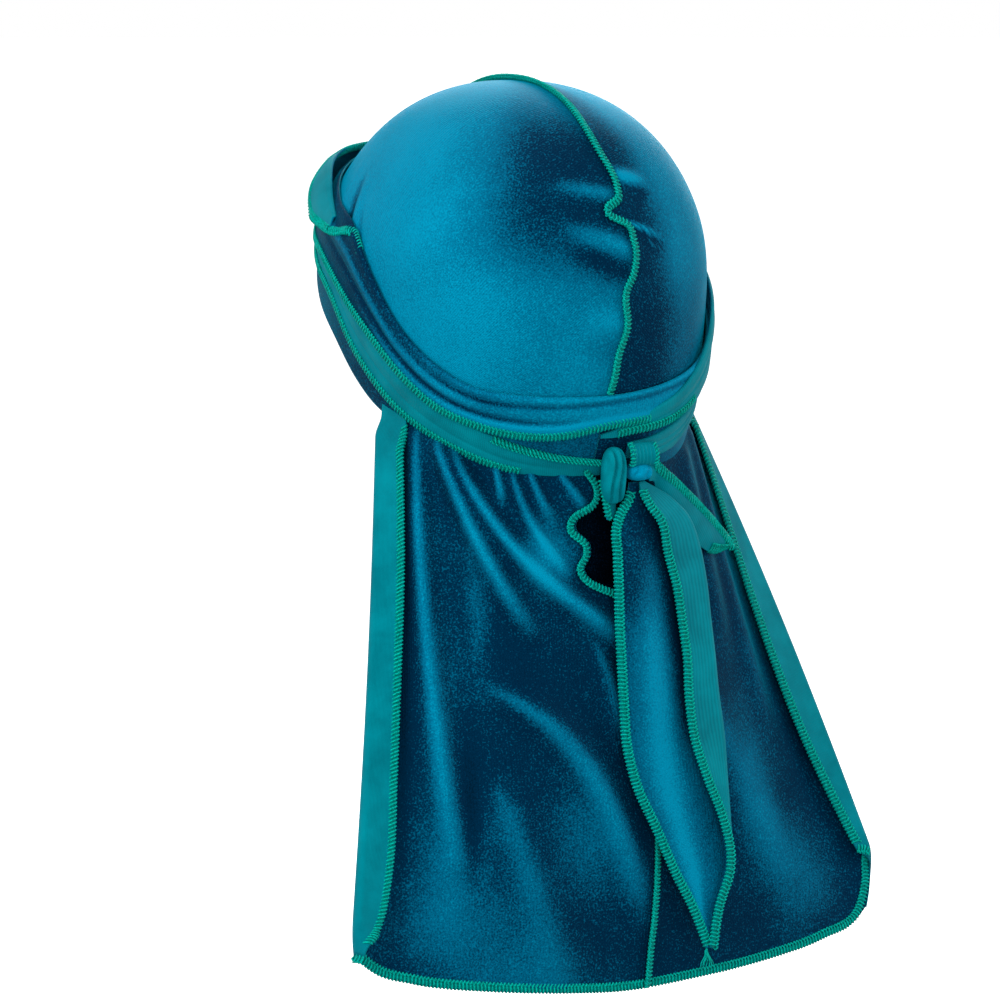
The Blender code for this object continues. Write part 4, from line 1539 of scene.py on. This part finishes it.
            # Painted highlight, narrower than the fold, along its ridge.
            sharp = width * (0.30 + 0.40 * place)
            glow += row.glow * fade * np.exp(-(distance / sharp) ** 2)
        return rise * ease(down / 0.04), glow

    def recess(self, across: Array, down: Array) -> Array:
        """Find how far the cloth falls back beside the seam.

        Args:
            across: 1 at the left edge, -1 at the right.
            down: 0 at the top, 1 at the hem.

        Returns:
            Shares of the recess's depth.
        """
        beside = (self.seam_across(down) - across) * self.half_width
        hollow = ease((beside - 2 * HEAD.cloth) / self.recess_edge) * ease((across + 0.22) / 0.16)
        return hollow * ease(down / 0.04) * ease((0.27 - down) / 0.05)

    def surface(self, across: Array, down: Array) -> Array:
        """Points on the tail with its folds."""
        rise = self.ridges(across, down)[0] - self.recess_depth * self.recess(across, down)
        return self.base(across, down) + self.outward(self.base, across, down) * rise[..., None]

    def row_down(self, row: Array) -> Array:
        """Share down the tail of a grid row; rows are closer near the rim."""
        return row * (0.55 + 0.45 * row)

    def half(self, side: int) -> Place:
        """Give the surface of one half, from the seam to the free edge of its turned-over strip.

        Args:
            side: 1 for the left half, -1 for the right.

        Returns:
            Its surface.
        """
        column = "left" if side > 0 else "right"
        rounding = self.corner_round_left if side > 0 else self.corner_round_right

        def place(across: Array, row: Array) -> Array:
            """Find points on that half.

            Args:
                across: 0 at the seam, 1 at the strip's free edge.
                row: 0 at the top, 1 at the hem.

            Returns:
                The points.
            """
            down = self.row_down(row)
            seam = self.seam_across(down) + side * self.seam_gap / 2 / self.half_width
            strip = self.curl_strip * read(self.strip_rows, column, down)
            if side < 0:
                strip = strip * (1 - ease((down - 0.90) / 0.06))
            corner = np.clip((down - self.corner_start) / (1 - self.corner_start), 0, 1)
            opening = 1 - 0.35 * ease(corner)
            stretch = np.interp(across, (0, self.flat_lanes, self.flat_lanes + self.turn_lanes, 1),
                                (0, 1, 1.5, 2))
            edge_at = side * (1 - rounding * corner ** 2.5)
            flat = self.surface(seam + (edge_at - seam) * np.minimum(stretch, 1), down)
            edge = self.surface(edge_at, down)
            before = self.surface(seam + (edge_at - seam) * 0.96, down)
            normal = self.outward(self.base, edge_at * 0.995, down)
            ahead = edge - before
            ahead = unit(ahead - normal * (ahead * normal).sum(axis=-1, keepdims=True))
            radius = self.tight_radius + (self.curl_radius - self.tight_radius) * ease((down - 0.02) / 0.05)
            if side < 0:
                radius = radius * (1 - 0.9 * ease((down - 0.92) / 0.06))
            arc = np.clip((stretch - 1) / 0.5, 0, 1) * np.pi * opening
            swing = ahead * np.sin(arc)[..., None] + normal * (1 - np.cos(arc))[..., None]
            run = np.clip(stretch - 1.5, 0, None) / 0.5 * strip
            onward = ahead * np.cos(arc)[..., None] + normal * np.sin(arc)[..., None]
            turned = edge + swing * radius[..., None] + onward * run[..., None]
            return np.where((stretch <= 1)[..., None], flat, turned)
        return place

    def tone_and_painted_light(self, side: int) -> ToneAndPaintedLight:
        """Give one half's tone: painted highlights on its folds, painted shade between them and in the recess
        by the seam.

        Args:
            side: 1 for the left half, -1 for the right.

        Returns:
            Its tone with painted light and shade.
        """
        # Painted highlights on the folds, stronger on the left half.
        glow, ground = (self.left_painted_highlight, 0.02) if side > 0 else (self.right_painted_highlight, 0.0)

        def paint(across: Array, row: Array) -> Array:
            """Find the tone with its painted light and shade.

            Args:
                across: 0 at the seam, 1 at the strip's free edge.
                row: 0 at the top, 1 at the hem.

            Returns:
                The tones.
            """
            down = self.row_down(row)
            seam = self.seam_across(down)
            stretch = np.minimum(across / self.flat_lanes, 1)
            spot = seam + (side - seam) * stretch
            tone = self.ridges(spot, down)[1] * glow + ground
            for patch in self.patches:
                away = ((spot - patch.across) / patch.wide) ** 2 + ((down - patch.down) / patch.long) ** 2
                tone = tone + patch.tone * np.exp(-away)
            # Painted shade in the recess beside the seam.
            hollow = self.recess(spot, down)
            return np.clip(tone * (1 - hollow) - self.recess_painted_shade * hollow, -0.8, 1.1)
        return paint

    def build(self) -> None:
        """Make both halves, their overlocked edges and the seam."""
        stitch = Overlock()
        for side, name in ((1, "tail_left"), (-1, "tail_right")):
            place = self.half(side)
            flat = (self.half_width * 1.12, self.length * 1.02)
            half = Cloth(name + "_cloth", self.columns, self.rows, place, flat, tone_and_painted_light=self.tone_and_painted_light(side)).build()
            wear(half, Slot.VELVET, name)
            down = np.linspace(0.02, 0.985 if side > 0 else self.corner_meets, 300)
            rail = rail_on(place, np.ones(300), down, (-0.02, 0.0))
            wear(stitch.build(name + "_side_overlock", rail), Slot.THREAD)
            wear(stitch.build(name + "_hem_overlock", self.hem_rail(side, place)), Slot.THREAD)
        down = np.linspace(0.008, 0.998, 500)
        across = self.seam_across(down)
        out = self.outward(self.base, across, down)
        line = self.surface(across, down) + out * (HEAD.cloth / 2 + self.seam_stand)
        sideways = unit(np.cross(np.gradient(line, axis=0), out))
        rail = Rail(line, unit(sideways + self.seam_lean * out), unit(out - self.seam_lean * sideways))
        seam = Overlock(width=self.seam_width).build("tail_seam_overlock", rail, centred=True)
        wear(seam, Slot.THREAD, "tail_seam")

    def hem_rail(self, side: int, place: Place) -> Rail:
        """The rail of one half's hem, from the seam round the corner.

        Args:
            side: 1 for the left half, -1 for the right.
            place: that half's surface.

        Returns:
            The rail; on the right it goes on up the edge to the strip's overlock.
        """
        t = np.linspace(0, 1, 360)
        if side > 0:
            across, row = t, np.ones(360)
        else:
            smooth = np.hanning(41) / np.hanning(41).sum()
            columns = (self.corner_across, self.corner_row)
            pairs = (np.interp(t, self.corner_path, values) for values in columns)
            across, row = (np.convolve(np.pad(values, 20, "edge"), smooth, "valid") for values in pairs)
        edge = place(across, row)
        spot = side * np.minimum(across / self.flat_lanes, 0.99)
        out = self.outward(self.base, spot, np.minimum(self.row_down(row), 0.99))
        inward = unit(np.cross(np.gradient(edge, axis=0), out)) * side
        return Rail(edge, inward, out)

    def hanging(self, side: Array, depth: Array, off: Array | float) -> Array:
        """Find points off the unfolded tail.

        Args:
            side: distances to the left of the middle.
            depth: distances below the origin.
            off: the distance off the tail.

        Returns:
            The points.
        """
        down = (depth - HEAD.crown_depth) / self.length
        across = side / self.half_width
        for _ in range(6):
            there = self.base(across, np.maximum(down, 0.0))
            across = across + (side - there[..., 0]) / self.half_width
            down = down + (depth + there[..., 2]) / self.length
        down = np.maximum(down, 0.0)
        there = self.base(across, down)
        normal = self.outward(self.base, across, down)
        return stack(side, there[..., 1] + off / np.maximum(normal[..., 1], 0.5), -depth)


# Knot and free ends
class Drop(NamedTuple):
    """The long tie's side lines, as shares of its width towards the left."""

    down: float
    left: float
    right: float
    turn_in: float


class Reach(NamedTuple):
    """The short tie's line, as shares of its length, and its width."""

    out: float
    side: float
    drop: float
    width: float


@dataclass
class Knot:
    """The knot at the nape and the free ends that leave it."""

    tail: Tail
    long_length: float = 0.205
    long_width: float = 0.048
    long_turn: float = 0.0022
    long_ridge: float = 0.0015
    stand_off: float = 0.0080
    short_length: float = 0.066
    short_width: float = 0.013
    rear_off: float = 0.0040
    tie_flat_lanes: float = 0.62
    fullness: float = 2.7
    bridge_top_turn: float = 78.0
    bridge_low_turn: float = -60.0

    long_rows = (
        Drop(0.0, -0.120, -0.250, 0.04), Drop(0.032, -0.080, -0.473, 0.28), Drop(0.055, 0.000, -0.570, 0.35),
        Drop(0.088, 0.067, -0.685, 0.38), Drop(0.150, 0.075, -0.80, 0.42), Drop(0.225, 0.083, -0.86, 0.38),
        Drop(0.306, 0.094, -0.88, 0.35), Drop(0.388, 0.094, -0.90, 0.33), Drop(0.466, 0.094, -0.91, 0.35),
        Drop(0.557, 0.081, -0.935, 0.36), Drop(0.648, -0.012, -0.93, 0.24), Drop(0.733, -0.177, -0.93, 0.09),
        Drop(0.839, -0.371, -0.93, 0.02), Drop(0.910, -0.525, -0.806, 0.02), Drop(1.0, -0.672, -0.710, 0.01),
    )
    short_rows = (
        Reach(0.0, 0.0, 0.0, 0.50), Reach(0.10, -0.08, -0.020, 0.66), Reach(0.22, -0.185, 0.055, 0.90),
        Reach(0.45, -0.385, 0.205, 1.0), Reach(0.68, -0.590, 0.365, 1.05), Reach(0.86, -0.755, 0.505, 0.80),
        Reach(1.0, -0.865, 0.615, 0.20),
    )

    def lobe(self, name: str, node: str, furrows: int, depth: float, finish: bpy.types.Material,
             slot: Slot) -> None:
        """A closed swelling of cloth that fills its solid's box, with furrows down its outer side.

        Args:
            name: the piece's name.
            node: the solid.
            furrows: how many furrows it has.
            depth: how deep they are, as a share of the lobe's depth.
            finish: its finish.
            slot: its slot.
        """
        low, high = (np.array(corner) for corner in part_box(node))
        ball = bmesh.new()
        bmesh.ops.create_uvsphere(ball, u_segments=64, v_segments=40, radius=0.5)
        for corner in ball.verts:
            share = float((np.abs(np.array(corner.co) * 2) ** self.fullness).sum())
            corner.co *= share ** (-1 / self.fullness)
            sway = 0.16 * np.sin(2 * np.pi * corner.co.z)
            side = corner.co.x * 2 + sway
            wave = (np.cos((furrows + 1) * np.pi * side) - 1) / 2
            crease = depth * np.abs(wave) ** 3 * max(corner.co.y + 0.15, 0.0)
            place = np.array(corner.co) + np.array([0.0, -crease, 0.0])
            corner.co = (low + high) / 2 + place * (high - low)
        data = bpy.data.meshes.new(name)
        ball.to_mesh(data)
        ball.free()
        # Painted highlight: the whole lobe gets a near-brightest tone.
        tone_and_painted_light = data.attributes.new("tone_and_painted_light", "FLOAT", "POINT")
        tone_and_painted_light.data.foreach_set("value", np.full(len(data.vertices), 0.95, np.float32))
        wear(join(name, [data], [finish]), slot, node)

    def bridge(self) -> None:
        """The ribbed turn of tie over the knot's top."""
        low, high = (np.array(corner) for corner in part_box("knot_bridge"))
        wall = HEAD.cloth
        height, reach = (high[2] - low[2] - wall) / 1.5, high[1] - low[1] - wall

        def place(across: Array, down: Array) -> Array:
            """Find points on the arched turn.

            Args:
                across: 0 at the left, 1 at the right.
                down: 0 at the top, 1 at the bottom.

            Returns:
                The points.
            """
            turn = np.radians(self.bridge_top_turn + (self.bridge_low_turn - self.bridge_top_turn) * down)
            ribs = 0.00022 * np.cos(14 * np.pi * across) * ease(down / 0.1) * ease((1 - down) / 0.1)
            out = reach * (1 - 0.12 * np.sin(np.pi * across)) + ribs
            top = high[2] - wall / 2 - height
            return stack(high[0] - wall / 2 - (high[0] - low[0] - wall) * across,
                         low[1] + wall / 2 + out * (np.cos(turn) - 0.2) / 0.8,
                         top + height * np.sin(turn))

        cloth = Cloth("knot_bridge_cloth", 84, 40, place, (0.014, 0.016), face=MATTE, back=VELVET).build()
        wear(cloth, Slot.MATTE, "knot_bridge")
        down = np.linspace(0.05, 0.95, 40)
        stitch = Overlock(width=0.0024, thickness=0.0015)
        for side, name in ((0.0, "left"), (1.0, "right")):
            rail = rail_on(place, np.full(40, side), down, (0.05 - 0.1 * side, 0.0))
            wear(stitch.build(f"knot_bridge_{name}_overlock", rail), Slot.THREAD)

    def long_surface(self, across: Array, down: Array) -> Array:
        """Find points on the long tie without its turned-over edge.

        Args:
            across: 0 at the left edge, 1 at the right.
            down: 0 at the knot, 1 at the tip.

        Returns:
            The points.
        """
        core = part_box("knot_core")
        top = -core[0].z + HEAD.cloth / 2 + 0.0003
        left = self.long_width * read(self.long_rows, "left", down)
        right = self.long_width * read(self.long_rows, "right", down)
        window = ease(down / 0.2) * ease((0.7 - down) / 0.3)
        ridge = self.long_ridge * np.sin(2 * np.pi * across) * window
        return self.tail.hanging(left + (right - left) * across, top + self.long_length * down,
                                 self.stand_off + ridge)

    def long_place(self, across: Array, down: Array) -> Array:
        """Find points on the long tie with its turned-over edge.

        Args:
            across: 0 at the left edge, 1 at the free edge of the turned-over strip.
            down: 0 at the knot, 1 at the tip.

        Returns:
            The points.
        """
        strip = self.long_width * read(self.long_rows, "turn_in", down)
        radius = self.long_turn * ease(down / 0.08) * ease((1.02 - down) / 0.3) + HEAD.cloth * 0.75
        stretch = np.interp(across, (0, self.tie_flat_lanes, 1), (0, 1, 2))
        flat = self.long_surface(np.minimum(stretch, 1), down)
        ones = np.ones(down.shape)
        edge = self.long_surface(ones, down)
        before = self.long_surface(ones * 0.96, down)
        normal = self.tail.outward(self.long_surface, ones * 0.99, down)
        ahead = edge - before
        ahead = unit(ahead - normal * (ahead * normal).sum(axis=-1, keepdims=True))
        arc = np.clip((stretch - 1) / 0.5, 0, 1) * np.pi
        swing = ahead * np.sin(arc)[..., None] + normal * (1 - np.cos(arc))[..., None]
        run = np.clip(stretch - 1.5, 0, None) / 0.5 * strip
        onward = ahead * np.cos(arc)[..., None] + normal * np.sin(arc)[..., None]
        turned = edge + swing * radius[..., None] + onward * run[..., None]
        return np.where((stretch <= 1)[..., None], flat, turned)

    def long_tone_and_painted_light(self, across: Array, down: Array) -> Array:
        """Find the long tie's tone: a painted highlight on a ridge, and painted shade in a valley beside the
        strip.

        Args:
            across: 0 at the left edge, 1 at the free edge of the turned-over strip.
            down: 0 at the knot, 1 at the tip.

        Returns:
            The tones.
        """
        stretch = np.interp(across, (0, self.tie_flat_lanes, 1), (0, 1, 2))
        # Painted highlight on the ridge, painted shade in the valley by the strip; the ground tone grows
        # lighter towards the tip.
        ridge = np.exp(-((stretch - 0.38) / 0.18) ** 2) * ease((down - 0.10) / 0.28)
        valley = np.exp(-((stretch - 0.80) / 0.16) ** 2) * ease((0.62 - down) / 0.2)
        ground = 0.08 + 0.26 * ease((down - 0.15) / 0.4)
        return np.clip(ground + 0.58 * ridge - 0.6 * valley, -0.3, 1.1)

    def short_place(self, out: Array, across: Array) -> Array:
        """Find points on the short tie.

        Args:
            out: 0 at the knot, 1 at the tip.
            across: 0 at the upper edge, 1 at the lower.

        Returns:
            The points.
        """
        core = [np.array(corner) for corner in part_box("knot_core")]
        start_side = core[0][0] - 0.0003
        start_depth = -(core[0][2] + core[1][2]) / 2 - (core[1][2] - core[0][2]) / 4
        side = start_side + self.short_length * read(self.short_rows, "side", out)
        depth = start_depth + self.short_length * read(self.short_rows, "drop", out)
        width = self.short_width * read(self.short_rows, "width", out)
        lean = self.stand_off * (1.1 - 0.45 * across * ease(out / 0.2))
        lean = lean + 0.0012 * np.sin(np.pi * across) * ease(out / 0.3)
        return self.tail.hanging(side + 0.55 * width * across * ease(out / 0.3), depth + width * across, lean)

    def build(self) -> None:
        """Make the knot's pieces and the ties' free ends."""
        self.lobe("knot_loop_cloth", "knot_loop", 2, 0.42, MATTE, Slot.MATTE)
        self.lobe("knot_core_cloth", "knot_core", 1, 0.20, VELVET, Slot.VELVET)
        self.bridge()
        self.build_long()
        self.build_short()
        self.build_rear()

    def build_long(self) -> None:
        """The long free end with its overlocked edges and its frayed tip."""
        cloth = Cloth("long_tie_cloth", 96, 170, self.long_place, (self.long_width, self.long_length),
                      tone_and_painted_light=self.long_tone_and_painted_light).build()
        wear(cloth, Slot.VELVET, "long_tie_end")
        stitch = Overlock()
        down = np.linspace(0.018, 1.0, 220)
        ones = np.ones(220)
        rails = (("long_tie_left_overlock", rail_on(self.long_place, 0 * ones, down, (0.02, 0.0))),
                 ("long_tie_strip_overlock", rail_on(self.long_place, ones, down, (-0.02, 0.0))))
        for name, rail in rails:
            wear(stitch.build(name, rail), Slot.THREAD)
        tip = self.long_place(np.array([0.3]), np.array([1.0]))[0]
        lines = []
        for index in range(7):
            swing = np.linspace(0, 1, 8)[:, None]
            lean = np.array([0.0011 * (index - 3), 0.0004 * (index % 3 - 1), -0.008 - 0.0006 * (index % 4)])
            wave = np.sin(swing * (5 + index)) * np.array([0.0006, 0.0003, 0.0])
            lines.append((tip + lean * swing + wave, 0.0003))
        wear(join("long_tie_tuft", [tube_mesh("tuft", lines)], [THREAD]), Slot.THREAD)

    def build_short(self) -> None:
        """The short free end with its overlocked edges."""
        cloth = Cloth("short_tie_cloth", 90, 30, self.short_place, (self.short_length, self.short_width),
                      face=MATTE, back=VELVET).build()
        wear(cloth, Slot.MATTE, "short_tie_end")
        out = np.linspace(0.04, 1.0, 120)
        ones = np.ones(120)
        stitch = Overlock(width=0.0050)
        wear(stitch.build("short_tie_upper_overlock",
                          rail_on(self.short_place, out, 0 * ones, (0.0, 0.05))), Slot.THREAD)
        out = np.linspace(0.80, 1.0, 120)
        wear(stitch.build("short_tie_end_overlock",
                          rail_on(self.short_place, out, ones, (0.0, -0.05))), Slot.THREAD)

    def build_rear(self) -> None:
        """The small tucked end behind the knot."""
        low, high = (np.array(corner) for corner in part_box("rear_tie_end"))
        wall = HEAD.cloth

        def place(across: Array, down: Array) -> Array:
            """Find points on the tucked end.

            Args:
                across: 0 at the right, 1 at the left.
                down: 0 at the top, 1 at the tip.

            Returns:
                The points.
            """
            width = (high[0] - low[0] - wall) * (1 - 0.35 * down)
            side = low[0] + wall / 2 + width * across
            depth = -high[2] + wall / 2 + (high[2] - low[2] - wall) * down
            return self.tail.hanging(side, depth, self.rear_off + 0.0006 * np.sin(np.pi * across))

        cloth = Cloth("rear_tie_cloth", 24, 40, place, (0.008, 0.018), face=MATTE, back=VELVET).build()
        wear(cloth, Slot.MATTE, "rear_tie_end")
        down = np.linspace(0.0, 1.0, 60)
        rail = rail_on(place, np.ones(60), down, (-0.05, 0.0))
        wear(Overlock(width=0.0028).build("rear_tie_overlock", rail), Slot.THREAD)


# Studio
@dataclass(frozen=True)
class Softbox:
    """An area light aimed at the durag, placed by the camera's right, towards and up."""

    name: str
    right: float
    towards: float
    up: float
    size: float
    power: float
    colour: Colour = (1.0, 1.0, 1.0)


@dataclass(frozen=True)
class Studio:
    """Camera, floor and soft lights."""

    camera: tuple[float, float, float] = (0.81983, 1.48461, 0.05568)
    aim: tuple[float, float, float] = (0.01180, 0.00870, -0.18679)
    lens: float = 135.9
    sensor: float = 36.0
    floor_level: float = -0.62
    floor_radius: float = 30.0
    ambient: float = 0.55
    softboxes: tuple[Softbox, ...] = (
        Softbox("key_light", -1.15, 0.95, 0.75, 1.2, 17.0),
        Softbox("right_light", 1.35, 0.15, 0.45, 1.0, 6.0),
        Softbox("top_light", -0.2, 0.2, 1.6, 1.0, 9.0),
        Softbox("front_light", 0.2, -1.6, 0.7, 1.2, 12.0),
        Softbox("fill_light", 0.3, 1.8, 0.2, 1.2, 12.0),
    )

    def build(self) -> None:
        """Set the camera, the floor, the world and the lights."""
        scene = bpy.context.scene
        scene.view_settings.view_transform = "Standard"
        data = bpy.data.cameras.new("photo_camera")
        data.lens = self.lens
        data.sensor_width = self.sensor
        data.clip_end = 200.0
        camera = bpy.data.objects.new("photo_camera", data)
        scene.collection.objects.link(camera)
        camera.location = self.camera
        sight = Vector(self.aim) - Vector(self.camera)
        camera.rotation_euler = sight.to_track_quat("-Z", "Y").to_euler()
        scene.camera = camera
        self.light(scene, sight)
        self.floor(scene)
        self.world(scene)

    def light(self, scene: bpy.types.Scene, sight: Vector) -> None:
        """Place the soft lights.

        Args:
            scene: the scene.
            sight: the camera's line of sight.
        """
        towards = Vector((-sight.x, -sight.y, 0)).normalized()
        right = Vector((towards.y, -towards.x, 0)) * -1
        aim = Vector(self.aim)
        for box in self.softboxes:
            data = bpy.data.lights.new(box.name, "AREA")
            data.size = box.size
            data.energy = box.power
            data.color = box.colour
            lamp = bpy.data.objects.new(box.name, data)
            scene.collection.objects.link(lamp)
            lamp.location = aim + right * box.right + towards * box.towards + Vector((0, 0, box.up))
            lamp.rotation_euler = (aim - lamp.location).to_track_quat("-Z", "Y").to_euler()

    def floor(self, scene: bpy.types.Scene) -> None:
        """Make a plain pale floor.

        Args:
            scene: the scene.
        """
        disc = bmesh.new()
        bmesh.ops.create_circle(disc, cap_ends=True, segments=96, radius=self.floor_radius)
        data = bpy.data.meshes.new("floor")
        disc.to_mesh(data)
        disc.free()
        data.transform(Matrix.Translation((0, 0, self.floor_level)))
        tree = Shader("pale_floor")
        data.materials.append(tree.surface({
            "Base Color": (0.9, 0.9, 0.9, 1.0), "Roughness": 0.9,
            "Emission Color": (1.0, 1.0, 1.0, 1.0), "Emission Strength": 0.75,
        }))
        floor = bpy.data.objects.new("floor", data)
        floor.visible_diffuse = False
        floor.visible_glossy = False
        scene.collection.objects.link(floor)

    def world(self, scene: bpy.types.Scene) -> None:
        """A white surround that lights the durag only a little.

        Args:
            scene: the scene.
        """
        world = bpy.data.worlds.new("studio")
        world.use_nodes = True
        scene.world = world
        nodes, links = world.node_tree.nodes, world.node_tree.links
        nodes.clear()
        path = nodes.new("ShaderNodeLightPath")
        mixer = nodes.new("ShaderNodeMixShader")
        links.new(path.outputs["Is Camera Ray"], mixer.inputs[0])
        for slot, strength in ((1, self.ambient), (2, 1.0)):
            glow = nodes.new("ShaderNodeBackground")
            glow.inputs["Strength"].default_value = strength
            glow.inputs["Color"].default_value = (1.0, 1.0, 1.0, 1.0)
            links.new(glow.outputs[0], mixer.inputs[slot])
        end = nodes.new("ShaderNodeOutputWorld")
        links.new(mixer.outputs[0], end.inputs["Surface"])


def main() -> None:
    """Build the durag and its studio."""
    logging.basicConfig(level=logging.INFO, format="%(message)s")
    Studio().build()
    Crown().build()
    Wraps().build()
    tail = Tail()
    tail.build()
    Knot(tail).build()


if __name__ == "__main__":
    main()
